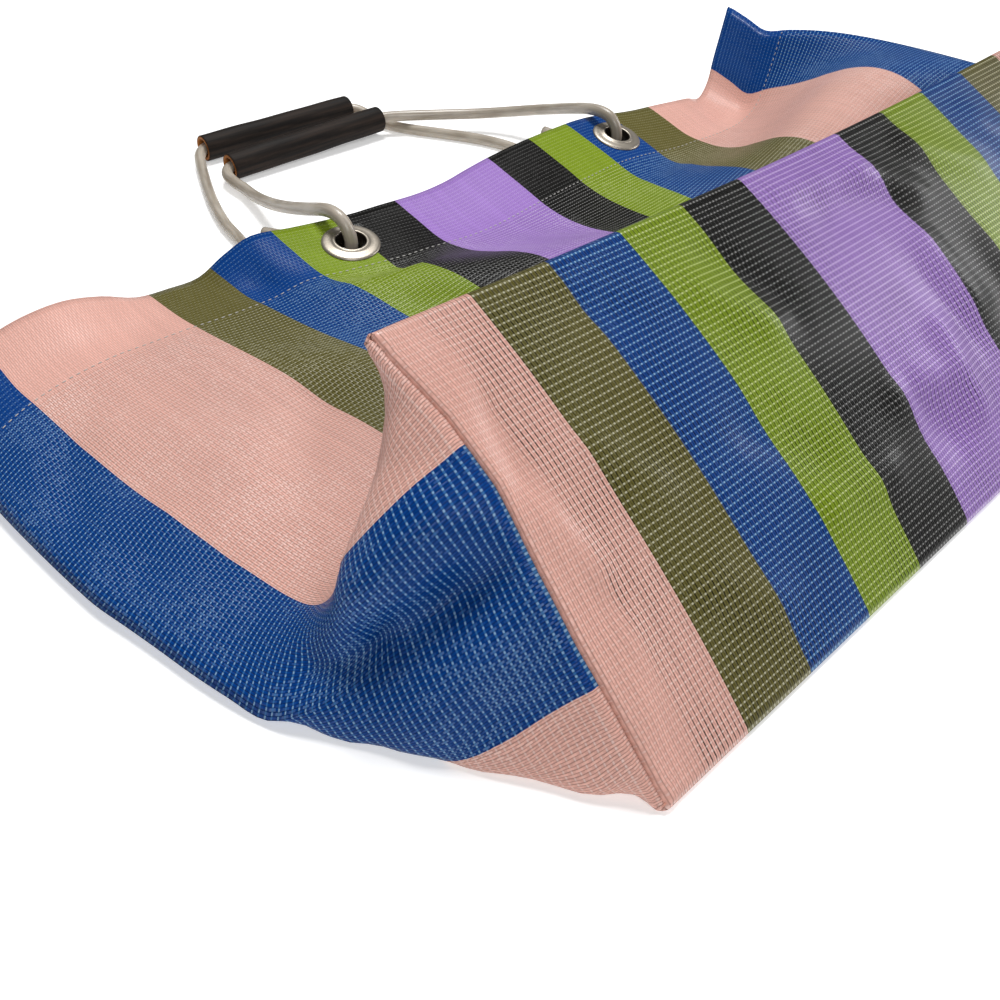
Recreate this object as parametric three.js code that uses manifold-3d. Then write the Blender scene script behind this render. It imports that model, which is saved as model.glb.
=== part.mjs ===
// Net tote bag lying collapsed on its back panel: mouth toward +Y, base leaning up at the other end.
// Millimetres, +Z up. The net cloth is one sheet: front, bottom and back are one strip, sewn up both
// sides and boxed at the corners, with a turned hem. Each panel has two eyelets and one cord handle.
import * as THREE from 'three';
import { mergeVertices } from 'three/addons/utils/BufferGeometryUtils.js';
import Module from 'manifold-3d';

const wasm = await Module();
wasm.setup();

// Sewn sizes of the bag
const BASE_WIDTH = 345;
const BASE_DEPTH = 130;
const BAG_HEIGHT = 260;
const CLOTH = 2;
const HEM_DEPTH = 36;
const HEM_TURN = 0.8; // extra thickness of the turned hem, on the inner side

// The base leans over the front panel, bellied out a little and sagging along its upper edge
const LEAN_REACH = 100;
const LEAN_RISE = 82;
const BASE_BELLY = 6;
const RIDGE_SAG = 4;

// Heights at which the cloth lies
const FLOOR = CLOTH / 2;
const FRONT_LIES = 15;
const NEAR_FOLD_LIES = 4;
const FAR_FOLD_STANDS = 57;

// Fittings
const EYELET = {
  outer: 12,
  bevel: 2,
  barrel: 6.85,
  lip: 0.6,
  bore: 6,
  flange: 1.2,
  fromEdge: 18.5,
  room: 0.4,
};
const CORD = 5.5;
const GRIP = { outer: 6.7, bore: 4.6 };

// Division of the sheet: columns go round the mouth from the near side fold, rows from base seam to hem
const SIDE_COLUMNS = 10;
const PANEL_COLUMNS = 26;
const ROWS = 20;
const ROW = BAG_HEIGHT / ROWS;
const COLUMNS = 2 * (SIDE_COLUMNS + PANEL_COLUMNS);
const FRONT_NEAR = SIDE_COLUMNS / 2;
const FRONT_FAR = FRONT_NEAR + PANEL_COLUMNS;
const FAR_FOLD = FRONT_FAR + SIDE_COLUMNS / 2;
const BACK_FAR = FRONT_FAR + SIDE_COLUMNS;
const BACK_NEAR = BACK_FAR + PANEL_COLUMNS;
const HALF_GIRTH = BASE_WIDTH + BASE_DEPTH;

// The hem edge as it lies, a row for each rise and dip: x across the bag, y away from the base, z up
const FRONT_HEM = [
  { x: -66, y: 266, z: 5 },
  { x: -52, y: 272, z: 16 },
  { x: -30, y: 277, z: 22 },
  { x: -8, y: 278, z: 23 },
  { x: 8, y: 277, z: 19.5 },
  { x: 24, y: 275, z: 14 },
  { x: 40, y: 274, z: 14 },
  { x: 54, y: 273, z: 20 },
  { x: 68, y: 271, z: 26 },
  { x: 104, y: 263, z: 26.5 },
  { x: 135, y: 259, z: 25 },
  { x: 157, y: 258, z: 25.5 },
  { x: 183, y: 260, z: 28 },
  { x: 211, y: 262.5, z: 29 },
  { x: 240, y: 265, z: 28.5 },
  { x: 262, y: 265.5, z: 28 },
  { x: 285, y: 262, z: 25.5 },
  { x: 308, y: 259, z: 24.5 },
  { x: 330, y: 258.5, z: 22.5 },
  { x: 350, y: 261, z: 20 },
  { x: 364, y: 266, z: 38 },
  { x: 376, y: 270, z: 58 },
];
const BACK_HEM = [
  { x: 376, y: 270, z: 58 },
  { x: 378, y: 268, z: 32 },
  { x: 363, y: 264, z: 3 },
  { x: 336, y: 263, z: 1 },
  { x: 270, y: 262, z: 1.5 },
  { x: 247, y: 261, z: 8 },
  { x: 228, y: 261, z: 15 },
  { x: 209, y: 261, z: 8 },
  { x: 186, y: 262, z: 1.5 },
  { x: 150, y: 262, z: 1 },
  { x: 116, y: 262, z: 1.5 },
  { x: 93, y: 261, z: 8 },
  { x: 74, y: 261, z: 15 },
  { x: 55, y: 261, z: 8 },
  { x: 32, y: 262, z: 1.5 },
  { x: 0, y: 264, z: 1 },
  { x: -42, y: 266, z: 1.2 },
  { x: -66, y: 266, z: 5 },
];

// Lie of the near side, from the base to the hem: the crease down its middle, and the columns of the
// sheet below it, which come down to the floor one after another and run on under the bag
const MIDDLE_CREASE = [
  { x: 0, y: 46.2, z: 46.6 },
  { x: -24.5, y: 60, z: 25 },
  { x: -49, y: 80, z: 4 },
  { x: -56, y: 101, z: 3.4 },
  { x: -61, y: 130, z: 3.6 },
  { x: -65, y: 154, z: 4 },
  { x: -67.5, y: 209, z: 4.4 },
  { x: -66, y: 266, z: 5 },
];
const FIRST_BELOW = [
  { x: 0, y: 36.3, z: 38.3 },
  { x: -20, y: 49, z: 20 },
  { x: -39.5, y: 64.5, z: 1.6 },
  { x: -42.5, y: 82, z: 1 },
  { x: -45, y: 110, z: 1 },
  { x: -49, y: 150, z: 1 },
  { x: -54, y: 209, z: 1.2 },
  { x: -53.5, y: 266, z: 2.8 },
];
const SECOND_BELOW = [
  { x: 0, y: 26.8, z: 29.5 },
  { x: -15, y: 38, z: 15 },
  { x: -29.5, y: 49.5, z: 1.2 },
  { x: -33, y: 66, z: 1 },
  { x: -33, y: 92, z: 1 },
  { x: -36, y: 140, z: 1 },
  { x: -41, y: 209, z: 1 },
  { x: -41, y: 265.8, z: 1.3 },
];
const THIRD_BELOW = [
  { x: 0, y: 17.6, z: 20.4 },
  { x: -11, y: 26, z: 10 },
  { x: -21.5, y: 34, z: 1.2 },
  { x: -24, y: 48, z: 1 },
  { x: -23, y: 72, z: 1 },
  { x: -24, y: 130, z: 1 },
  { x: -28, y: 209, z: 1 },
  { x: -27.6, y: 265.3, z: 1.15 },
];
const FOURTH_BELOW = [
  { x: 0, y: 8.6, z: 10.9 },
  { x: -6, y: 13, z: 5 },
  { x: -11.5, y: 17, z: 1.2 },
  { x: -13, y: 30, z: 1 },
  { x: -12.5, y: 52, z: 1 },
  { x: -12, y: 130, z: 1 },
  { x: -15, y: 209, z: 1 },
  { x: -14.6, y: 264.7, z: 1.1 },
];

// Eyelets, by the panel they are in and their place across it
const EYELETS = [
  { name: 'eyelet_front_near', x: 98.8, from: FRONT_NEAR, to: FRONT_FAR },
  { name: 'eyelet_front_far', x: 262, from: FRONT_NEAR, to: FRONT_FAR },
  { name: 'eyelet_back_far', x: 224.4, from: BACK_NEAR, to: BACK_FAR },
  { name: 'eyelet_back_near', x: 70.2, from: BACK_NEAR, to: BACK_FAR },
];

// Width of a column, and the place of its first edge round the mouth
function columnWidth(i) {
  const onFront = i >= FRONT_NEAR && i < FRONT_FAR;
  const onBack = i >= BACK_FAR && i < BACK_NEAR;
  return onFront || onBack ? BASE_WIDTH / PANEL_COLUMNS : BASE_DEPTH / SIDE_COLUMNS;
}

const AROUND = [0];
for (let i = 0; i < COLUMNS; i += 1) {
  AROUND.push(AROUND[i] + columnWidth(i));
}

// A point of the base, x along it and d up it from the floor edge
function basePoint(x, d) {
  const share = d / BASE_DEPTH;
  const belly = BASE_BELLY * 4 * share * (1 - share);
  const slope = Math.hypot(LEAN_REACH, LEAN_RISE);
  const sag = RIDGE_SAG * Math.sin((Math.PI * x) / BASE_WIDTH) * share;
  return new THREE.Vector3(
    x,
    LEAN_REACH * share - (belly * LEAN_RISE) / slope,
    FLOOR + LEAN_RISE * share + (belly * LEAN_REACH) / slope - sag,
  );
}

// Where the column at this place round the bag meets the edge of the base
function seamPlace(around) {
  const side = BASE_DEPTH / 2;
  if (around <= side) {
    return { x: 0, d: side + around };
  }
  if (around <= side + BASE_WIDTH) {
    return { x: around - side, d: BASE_DEPTH };
  }
  if (around <= 3 * side + BASE_WIDTH) {
    return { x: BASE_WIDTH, d: 3 * side + BASE_WIDTH - around };
  }
  if (around <= 3 * side + 2 * BASE_WIDTH) {
    return { x: 3 * side + 2 * BASE_WIDTH - around, d: 0 };
  }
  return { x: 0, d: around - 3 * side - 2 * BASE_WIDTH };
}

const curveOf = (rows) => new THREE.CatmullRomCurve3(
  rows.map((row) => new THREE.Vector3(row.x, row.y, row.z)),
  false,
  'catmullrom',
  0.5,
);
const frontHem = curveOf(FRONT_HEM);
const backHem = curveOf(BACK_HEM);
const LIES = [MIDDLE_CREASE, FIRST_BELOW, SECOND_BELOW, THIRD_BELOW, FOURTH_BELOW];
const creases = new Map(LIES.map((rows, below) => [(COLUMNS - below) % COLUMNS, curveOf(rows)]));

function hemPoint(around) {
  if (around < HALF_GIRTH) {
    return frontHem.getPointAt(around / HALF_GIRTH);
  }
  return backHem.getPointAt((around - HALF_GIRTH) / HALF_GIRTH);
}

// Lowest height of a column: the back lies on the floor, the front rises away from the near fold
function lowestOf(i) {
  if (i > FAR_FOLD) {
    return FLOOR;
  }
  const risen = Math.min(1, AROUND[i] / (BASE_DEPTH / 2 + 20));
  return NEAR_FOLD_LIES + (FRONT_LIES - NEAR_FOLD_LIES) * risen;
}

// First shape of a column: from the seam to an elbow, where the cloth turns, and on to the hem. Each
// elbow is out to the side, on from the base, and high, and shifts with its place up the base's edge.
const NEAR_ELBOW = { out: 62, on: 18, onByPlace: 60, onByMiddle: 20, high: 2, highByPlace: 12 };
const FAR_ELBOW = { out: 30, on: 40, onByPlace: 80, high: 2, highByPlace: 12, highByMiddle: 50 };
const PANEL_ELBOW = { out: 4, on: 63, high: 17 };
function elbowOf(i, seam) {
  const up = seam.d / BASE_DEPTH;
  const middle = 1 - Math.abs(2 * up - 1);
  if (seam.x === 0 && (i < FRONT_NEAR || i > BACK_NEAR)) {
    const { out, on, onByPlace, onByMiddle, high, highByPlace } = NEAR_ELBOW;
    return new THREE.Vector3(
      -out * middle,
      on + onByPlace * up + onByMiddle * middle,
      high + highByPlace * Math.max(0, 2 * up - 1),
    );
  }
  if (i > FRONT_FAR && i < BACK_FAR) {
    const { out, on, onByPlace, high, highByPlace, highByMiddle } = FAR_ELBOW;
    return new THREE.Vector3(
      BASE_WIDTH + out * middle,
      on + onByPlace * up,
      high + highByMiddle * middle + highByPlace * up,
    );
  }
  return new THREE.Vector3(seam.x + PANEL_ELBOW.out, PANEL_ELBOW.on, PANEL_ELBOW.high);
}

const at = (i, j) => (i % COLUMNS) * (ROWS + 1) + j;
const points = [];
const held = [];
const HEM_SLOPE = 0.28;
const FLARE = 34; // depth of the back hem's rise at the eyelets

for (let i = 0; i < COLUMNS; i += 1) {
  const seam = seamPlace(AROUND[i]);
  const first = basePoint(seam.x, seam.d);
  const last = hemPoint(AROUND[i]);
  const elbow = elbowOf(i, seam);
  const lower = first.distanceTo(elbow);
  const upper = elbow.distanceTo(last);
  const onFloor = i >= BACK_FAR && i <= BACK_NEAR;
  for (let j = 0; j <= ROWS; j += 1) {
    const fromEdge = BAG_HEIGHT - j * ROW;
    const run = (j / ROWS) * (lower + upper);
    const point = first.clone();
    if (creases.has(i)) {
      point.copy(creases.get(i).getPointAt(j / ROWS));
    } else if (onFloor) {
      point.lerp(last, j / ROWS);
      point.z = FLOOR + (last.z - FLOOR) * Math.max(0, 1 - fromEdge / FLARE);
    } else if (fromEdge < HEM_DEPTH) {
      point.copy(last);
      point.y -= fromEdge * Math.cos(Math.atan(HEM_SLOPE));
      point.z = Math.max(lowestOf(i), last.z - HEM_SLOPE * fromEdge * Math.min(1, last.z / 24));
    } else if (run <= lower) {
      point.lerp(elbow, run / lower);
    } else {
      point.lerpVectors(elbow, last, (run - lower) / upper);
    }
    points.push(point);
    held.push(creases.has(i) || j === 0 || onFloor || fromEdge < HEM_DEPTH);
  }
}

// Threads of the cloth that keep their length, and longer ones that resist bending
const THREADS = [
  { across: 0, along: 1, hold: 1 },
  { across: 1, along: 0, hold: 1 },
  { across: 1, along: 1, hold: 0.35 },
  { across: 1, along: -1, hold: 0.35 },
  { across: 0, along: 2, hold: 0.25 },
  { across: 2, along: 0, hold: 0.25 },
  { across: 0, along: 4, hold: 0.1 },
  { across: 4, along: 0, hold: 0.1 },
];

// The two sides are creased along their middle, so no bending thread crosses there
function crossesFold(i, across) {
  for (let step = 1; step < across; step += 1) {
    const column = (i + step) % COLUMNS;
    if (column === 0 || column === FAR_FOLD) {
      return true;
    }
  }
  return false;
}

const links = [];
for (const { across, along, hold } of THREADS) {
  const span = Math.max(across, Math.abs(along));
  for (const turn of [0, 1]) {
    for (let i = 0; i < COLUMNS; i += 1) {
      for (let j = Math.max(0, -along); j <= ROWS - Math.max(0, along); j += 1) {
        const order = Math.floor((across ? i : j) / span) % 2;
        if (order === turn && !crossesFold(i, across)) {
          const width = AROUND[Math.min(i + across, COLUMNS)] - AROUND[i];
          const wrapped = AROUND[Math.max(0, i + across - COLUMNS)];
          const length = Math.hypot(width + wrapped, along * ROW);
          links.push({ a: at(i, j), b: at(i + across, j + along), length, hold });
        }
      }
    }
  }
}

// Limits of every point: the air or floor below it, the standing crease of the far side, and the
// leaning base, which the cloth stays behind
const baseOut = new THREE.Vector3(0, -LEAN_RISE, LEAN_REACH).normalize();
const lowest = [];
const behind = [];
for (let i = 0; i < COLUMNS; i += 1) {
  const seam = seamPlace(AROUND[i]);
  const seamHeight = basePoint(seam.x, seam.d).z;
  for (let j = 0; j <= ROWS; j += 1) {
    const up = j / ROWS;
    const stands = seamHeight + (FAR_FOLD_STANDS - seamHeight) * Math.min(1, up / 0.35);
    lowest.push(i === FAR_FOLD ? stands : lowestOf(i));
    const isFront = i >= FRONT_NEAR && i <= FRONT_FAR;
    behind.push(isFront ? Math.min(12, 5 * j) : Math.min(6, 2 * j));
  }
}

// The two layers of the standing far side, and of the lying near side, keep apart
const sides = [];
for (let k = 1; k <= SIDE_COLUMNS / 2; k += 1) {
  const gap = Math.min(9, 4 * k);
  for (let j = 1; j < ROWS; j += 1) {
    sides.push({ low: at(FAR_FOLD - k, j), high: at(FAR_FOLD + k, j), axis: 'x', gap });
    sides.push({ low: at(COLUMNS - k, j), high: at(k, j), axis: 'z', gap });
  }
}

// Let the cloth fall and come to rest
const ROUNDS = 1200;
const GRAVITY = 0.08;
const DRAG = 0.9;
const before = points.map((point) => point.clone());
const pull = new THREE.Vector3();
for (let round = 0; round < ROUNDS; round += 1) {
  points.forEach((point, n) => {
    if (!held[n]) {
      pull.subVectors(point, before[n]).multiplyScalar(DRAG);
      before[n].copy(point);
      point.add(pull);
      point.z -= GRAVITY;
    }
  });
  for (let sweep = 0; sweep < 2; sweep += 1) {
    for (const { a, b, length, hold } of links) {
      const movers = (held[a] ? 0 : 1) + (held[b] ? 0 : 1);
      if (movers > 0) {
        pull.subVectors(points[b], points[a]);
        const reach = Math.max(pull.length(), 1e-6);
        pull.multiplyScalar((hold * (reach - length)) / reach / movers);
        if (!held[a]) {
          points[a].add(pull);
        }
        if (!held[b]) {
          points[b].sub(pull);
        }
      }
    }
    for (const { low, high, axis, gap } of sides) {
      const lack = gap - points[high][axis] + points[low][axis];
      if (lack > 0) {
        points[low][axis] -= held[low] ? 0 : lack / 2;
        points[high][axis] += held[high] ? 0 : lack / 2;
      }
    }
    points.forEach((point, n) => {
      if (!held[n]) {
        const ahead = point.dot(baseOut) - FLOOR * baseOut.z + behind[n];
        point.addScaledVector(baseOut, -Math.max(0, ahead));
        point.z = Math.max(point.z, lowest[n]);
      }
    });
  }
}

// Soften the creases, as the stiff net does
const SOFTENINGS = 14;
const SOFTEN = 0.25;
for (let pass = 0; pass < SOFTENINGS; pass += 1) {
  const still = points.map((point) => point.clone());
  for (let i = 0; i < COLUMNS; i += 1) {
    for (let j = 1; j < ROWS; j += 1) {
      if (!held[at(i, j)]) {
        const along = [at(i, j + 1), at(i, j - 1)];
        const across = [at(i + 1, j), at(i + COLUMNS - 1, j)];
        const isFold = i === 0 || i === FAR_FOLD;
        const round = isFold ? along : [...along, ...across];
        const middle = new THREE.Vector3();
        for (const near of round) {
          middle.addScaledVector(still[near], 1 / round.length);
        }
        points[at(i, j)].lerp(middle, SOFTEN);
      }
    }
  }
}

// A point of the settled sheet
function sheetPoint(around, up) {
  const i = AROUND.findIndex((edge, n) => around < AROUND[n + 1]);
  const j = Math.min(ROWS - 1, Math.floor(up / ROW));
  const across = (around - AROUND[i]) / columnWidth(i);
  const along = up / ROW - j;
  const low = points[at(i, j)].clone().lerp(points[at(i + 1, j)], across);
  const high = points[at(i, j + 1)].clone().lerp(points[at(i + 1, j + 1)], across);
  return low.lerp(high, along);
}

// Each eyelet presses the cloth of its own panel flat round it
const PRESSED = 24;
const EASED = 40;
const eyelets = EYELETS.map(({ name, x, from, to }) => {
  const up = BAG_HEIGHT - EYELET.fromEdge;
  let [low, high] = [AROUND[from], AROUND[to]];
  for (let halving = 0; halving < 30; halving += 1) {
    const half = (low + high) / 2;
    [low, high] = sheetPoint(half, up).x < x ? [half, high] : [low, half];
  }
  const around = (low + high) / 2;
  const centre = sheetPoint(around, up);
  const alongHem = sheetPoint(around + ROW, up).sub(sheetPoint(around - ROW, up));
  const toEdge = sheetPoint(around, up + ROW).sub(sheetPoint(around, up - ROW));
  const out = alongHem.cross(toEdge).normalize();
  return { name, around, centre, out };
});
for (const { around, centre, out } of eyelets) {
  for (let i = 0; i < COLUMNS; i += 1) {
    for (let j = 0; j <= ROWS; j += 1) {
      const away = Math.hypot(AROUND[i] - around, j * ROW - BAG_HEIGHT + EYELET.fromEdge);
      const press = Math.min(1, Math.max(0, (EASED - away) / (EASED - PRESSED)));
      const point = points[at(i, j)];
      point.addScaledVector(out, -press * pull.subVectors(point, centre).dot(out));
      point.z = Math.max(point.z, FLOOR);
    }
  }
}

// Faces of the middle surface, each square cut along its shorter way across: the walls, then the base,
// which shares its edge points with the walls
const faces = [];
function addQuad(a, b, c, d) {
  if (points[a].distanceTo(points[c]) < 1.1 * points[b].distanceTo(points[d])) {
    faces.push([a, b, c], [a, c, d]);
  } else {
    faces.push([a, b, d], [b, c, d]);
  }
}
for (let i = 0; i < COLUMNS; i += 1) {
  for (let j = 0; j < ROWS; j += 1) {
    addQuad(at(i, j), at(i + 1, j), at(i + 1, j + 1), at(i, j + 1));
  }
}
const baseIndex = [];
for (let a = 0; a <= PANEL_COLUMNS; a += 1) {
  baseIndex.push([]);
  for (let b = 0; b <= SIDE_COLUMNS; b += 1) {
    if (b === SIDE_COLUMNS) {
      baseIndex[a].push(at(FRONT_NEAR + a, 0));
    } else if (b === 0) {
      baseIndex[a].push(at(BACK_NEAR - a, 0));
    } else if (a === 0) {
      baseIndex[a].push(at(BACK_NEAR + b, 0));
    } else if (a === PANEL_COLUMNS) {
      baseIndex[a].push(at(BACK_FAR - b, 0));
    } else {
      points.push(basePoint((BASE_WIDTH * a) / PANEL_COLUMNS, (BASE_DEPTH * b) / SIDE_COLUMNS));
      baseIndex[a].push(points.length - 1);
    }
  }
}
for (let a = 0; a < PANEL_COLUMNS; a += 1) {
  for (let b = 0; b < SIDE_COLUMNS; b += 1) {
    addQuad(baseIndex[a][b], baseIndex[a + 1][b], baseIndex[a + 1][b + 1], baseIndex[a][b + 1]);
  }
}

// The solid: the middle surface moved out and in by the cloth's thickness, joined round the mouth
const normals = points.map(() => new THREE.Vector3());
for (const [a, b, c] of faces) {
  const across = points[b].clone().sub(points[a]);
  const area = across.cross(points[c].clone().sub(points[a]));
  normals[a].add(area);
  normals[b].add(area);
  normals[c].add(area);
}
const total = points.length;
const position = [];
for (const side of [1, -1]) {
  points.forEach((point, n) => {
    const row = n % (ROWS + 1);
    const isHem = n < COLUMNS * (ROWS + 1) && BAG_HEIGHT - row * ROW < HEM_DEPTH;
    const offset = side > 0 ? CLOTH / 2 : -CLOTH / 2 - (isHem ? HEM_TURN : 0);
    position.push(...point.clone().addScaledVector(normals[n].normalize(), offset).toArray());
  });
}
const index = [];
for (const [a, b, c] of faces) {
  index.push(a, b, c, total + c, total + b, total + a);
}
for (let i = 0; i < COLUMNS; i += 1) {
  const a = at(i, ROWS);
  const b = at(i + 1, ROWS);
  index.push(a, b, total + b, a, total + b, total + a);
}
const bodyGeometry = new THREE.BufferGeometry();
bodyGeometry.setAttribute('position', new THREE.Float32BufferAttribute(position, 3));
bodyGeometry.setIndex(index);

// Closed solids, for cutting one shape out of another
function toManifold(geometry) {
  const plain = geometry.clone();
  plain.deleteAttribute('normal');
  plain.deleteAttribute('uv');
  const merged = mergeVertices(plain, 1e-4);
  return new wasm.Manifold(new wasm.Mesh({
    numProp: 3,
    vertProperties: new Float32Array(merged.attributes.position.array),
    triVerts: new Uint32Array(merged.index.array),
  }));
}

function fromManifold(solid) {
  const mesh = solid.getMesh();
  const geometry = new THREE.BufferGeometry();
  geometry.setAttribute('position', new THREE.Float32BufferAttribute(mesh.vertProperties, 3));
  geometry.setIndex(Array.from(mesh.triVerts));
  return geometry;
}

// A turned shape set on an eyelet's axis
function turned(profile, { centre, out }, segments) {
  const shape = profile.map(([radius, height]) => new THREE.Vector2(radius, height));
  const geometry = new THREE.LatheGeometry(shape, segments);
  geometry.applyQuaternion(new THREE.Quaternion().setFromUnitVectors(new THREE.Vector3(0, 1, 0), out));
  geometry.translate(centre.x, centre.y, centre.z);
  return geometry;
}

const outerFace = CLOTH / 2 + EYELET.room;
const innerFace = -CLOTH / 2 - HEM_TURN - EYELET.room;
const eyeletProfile = [
  [EYELET.bore, innerFace - EYELET.flange / 2],
  [EYELET.barrel + EYELET.lip, innerFace - EYELET.flange],
  [EYELET.outer - EYELET.bevel, innerFace - EYELET.flange],
  [EYELET.outer, innerFace],
  [EYELET.barrel, innerFace],
  [EYELET.barrel, outerFace],
  [EYELET.outer, outerFace],
  [EYELET.outer - EYELET.bevel, outerFace + EYELET.flange],
  [EYELET.barrel + EYELET.lip, outerFace + EYELET.flange],
  [EYELET.bore, outerFace + EYELET.flange / 2],
  [EYELET.bore, innerFace - EYELET.flange / 2],
];
const CUT_PAST = 4; // how far the cut for an eyelet goes past its faces
const clear = EYELET.room - 0.1;
const spoolProfile = [
  [0, innerFace - CUT_PAST],
  [EYELET.outer + clear, innerFace - CUT_PAST],
  [EYELET.outer + clear, innerFace + clear],
  [EYELET.barrel + clear, innerFace + clear],
  [EYELET.barrel + clear, outerFace - clear],
  [EYELET.outer + clear, outerFace - clear],
  [EYELET.outer + clear, outerFace + CUT_PAST],
  [0, outerFace + CUT_PAST],
];
let bodySolid = toManifold(bodyGeometry);
for (const eyelet of eyelets) {
  bodySolid = bodySolid.subtract(toManifold(turned(spoolProfile, eyelet, 16)));
}

// Handles: each a cord laid by hand from one bare end inside the mouth to the other, x, y, z.
// The front one doubles back through its eyelets, crosses the hem and lies on the floor with its grip.
const FRONT_ROUTE = [
  [90, 298, 11.8],
  [93.5, 287, 12.8],
  [97, 274, 14],
  [98.7, 265, 14.4],
  [99, 259.6, 14.3],
  [99.1, 254.9, 14.4],
  [99.1, 250.3, 15.6],
  [98.9, 246.9, 18.9],
  [98.7, 245.7, 23.5],
  [98.5, 246.9, 28],
  [98.3, 250.3, 31.3],
  [98.2, 254.9, 32.5],
  [98.2, 259.7, 32.2],
  [98.7, 266, 30.4],
  [100.2, 276, 26.8],
  [103.2, 294, 20.6],
  [107, 313, 14.6],
  [111.5, 332, 9.4],
  [115.4, 348, 6.1],
  [118, 360, 4.9],
  [118.6, 368.6, 4.9],
  [119.3, 374.8, 5.3],
  [121.1, 380.1, 5.9],
  [124.7, 383.5, 6.4],
  [130, 384.6, 6.8],
  [138, 384, 7],
  [150, 383, 7.1],
  [205, 381.9, 8.5],
  [213.5, 381.8, 8.9],
  [221.2, 379.7, 9.3],
  [228, 375, 9.6],
  [238, 368, 9.4],
  [251, 359, 9],
  [262.5, 347.5, 9.6],
  [271, 333.5, 12],
  [275, 316, 16.4],
  [272.5, 298, 22],
  [267.5, 282, 27.4],
  [263, 269, 31.6],
  [261.6, 261.4, 33.2],
  [261.6, 256.5, 33.2],
  [261.8, 251.9, 32],
  [262, 248.5, 28.6],
  [262, 247.2, 23.9],
  [262, 248.5, 19.3],
  [262, 251.9, 15.9],
  [261.9, 256.5, 14.6],
  [261.5, 261.4, 14.5],
  [260.6, 268, 14.7],
  [259, 279, 15],
  [257.4, 292, 15.4],
];
// The rear one comes up through the back panel from the floor and passes under the front one.
const REAR_ROUTE = [
  [69.4, 208, 8],
  [69.5, 217.5, 8.6],
  [69.8, 227, 9.9],
  [70, 234, 10.8],
  [70.1, 238.5, 10.1],
  [70.2, 242.4, 7.6],
  [70.3, 246, 4.9],
  [70.5, 249.6, 3.2],
  [71, 254, 2.8],
  [72.4, 261, 2.85],
  [75, 272, 2.85],
  [80, 289, 2.85],
  [84.4, 304, 2.85],
  [88, 318, 2.85],
  [92, 336, 2.85],
  [99.5, 358, 2.85],
  [107, 376, 2.85],
  [114, 391.4, 3.2],
  [119.2, 402.4, 4.2],
  [124, 410.8, 5.6],
  [129.4, 415, 6.4],
  [137, 415.9, 6.7],
  [150, 414.2, 6.7],
  [200, 412.8, 6.7],
  [214.5, 413.4, 6.7],
  [220, 411.9, 6.5],
  [224, 407.9, 5.9],
  [225.5, 402.4, 4.8],
  [226, 394, 3.3],
  [226.8, 385, 2.85],
  [229, 375.6, 2.85],
  [232.7, 366.8, 2.85],
  [238.5, 355.5, 2.85],
  [244.6, 342.8, 2.85],
  [250, 329, 2.85],
  [253, 315, 2.85],
  [252.8, 301, 2.85],
  [249, 287, 2.85],
  [242.5, 273, 2.85],
  [235, 261, 2.85],
  [230.2, 254.4, 2.85],
  [227.2, 250, 2.95],
  [225.4, 246.4, 4.1],
  [224.5, 242.6, 6.9],
  [223.9, 239, 9.8],
  [223.4, 234.4, 11.4],
  [223, 225, 10.8],
  [222.6, 209, 8.8],
];
const HANDLES = [
  { name: 'front', route: FRONT_ROUTE, grip: [[124.9, 383.5, 6.7], [219, 381.5, 8.6]] },
  { name: 'rear', route: REAR_ROUTE, grip: [[128.3, 414.8, 6.7], [220.2, 412, 6.7]] },
];
const CORD_STEPS = 80;
const CORD_SIDES = 8;
const GRIP_SIDES = 14;

function ringPoints(radius, sides) {
  const ring = [];
  for (let k = 0; k < sides; k += 1) {
    const angle = (2 * Math.PI * k) / sides;
    ring.push(new THREE.Vector2(radius * Math.cos(angle), radius * Math.sin(angle)));
  }
  return ring;
}

function cordGeometry(route) {
  const path = new THREE.CatmullRomCurve3(route.map((place) => new THREE.Vector3(...place)));
  const section = new THREE.Shape(ringPoints(CORD / 2, CORD_SIDES));
  return new THREE.ExtrudeGeometry(section, { steps: CORD_STEPS, extrudePath: path });
}

// A sleeve with a bore, loose on the cord, straight between two places
function gripGeometry(from, to) {
  const start = new THREE.Vector3(...from);
  const run = new THREE.Vector3(...to).sub(start);
  const section = new THREE.Shape(ringPoints(GRIP.outer, GRIP_SIDES));
  section.holes.push(new THREE.Path(ringPoints(GRIP.bore, GRIP_SIDES)));
  const geometry = new THREE.ExtrudeGeometry(section, { depth: run.length(), bevelEnabled: false });
  const along = run.normalize();
  geometry.applyQuaternion(new THREE.Quaternion().setFromUnitVectors(new THREE.Vector3(0, 0, 1), along));
  geometry.translate(start.x, start.y, start.z);
  return geometry;
}

const look = (color, roughness, metalness) => new THREE.MeshStandardMaterial({ color, roughness, metalness });
const NET = look(0xd9a48f, 0.6, 0);
const NICKEL = look(0xc8c8c6, 0.3, 1);
const ROPE = look(0xbcb4a8, 0.55, 0);
const LEATHER = look(0x241c18, 0.6, 0);

// The part, with its origin under the middle of everything but the cords
const group = new THREE.Group();
function addNode(name, geometry, material) {
  const mesh = new THREE.Mesh(geometry, material);
  mesh.name = name;
  group.add(mesh);
}
addNode('net_body', fromManifold(bodySolid), NET);
for (const eyelet of eyelets) {
  addNode(eyelet.name, turned(eyeletProfile, eyelet, 16), NICKEL);
}
for (const { name, grip } of HANDLES) {
  addNode(`grip_${name}`, gripGeometry(...grip), LEATHER);
}
const middle = new THREE.Box3().setFromObject(group).getCenter(new THREE.Vector3());
for (const { name, route } of HANDLES) {
  addNode(`handle_cord_${name}`, cordGeometry(route), ROPE);
}
for (const mesh of group.children) {
  mesh.geometry.translate(-middle.x, -middle.y, 0);
}

export default group;
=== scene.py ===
# Net tote bag lying collapsed on its back panel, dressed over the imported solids.
import math

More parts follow.
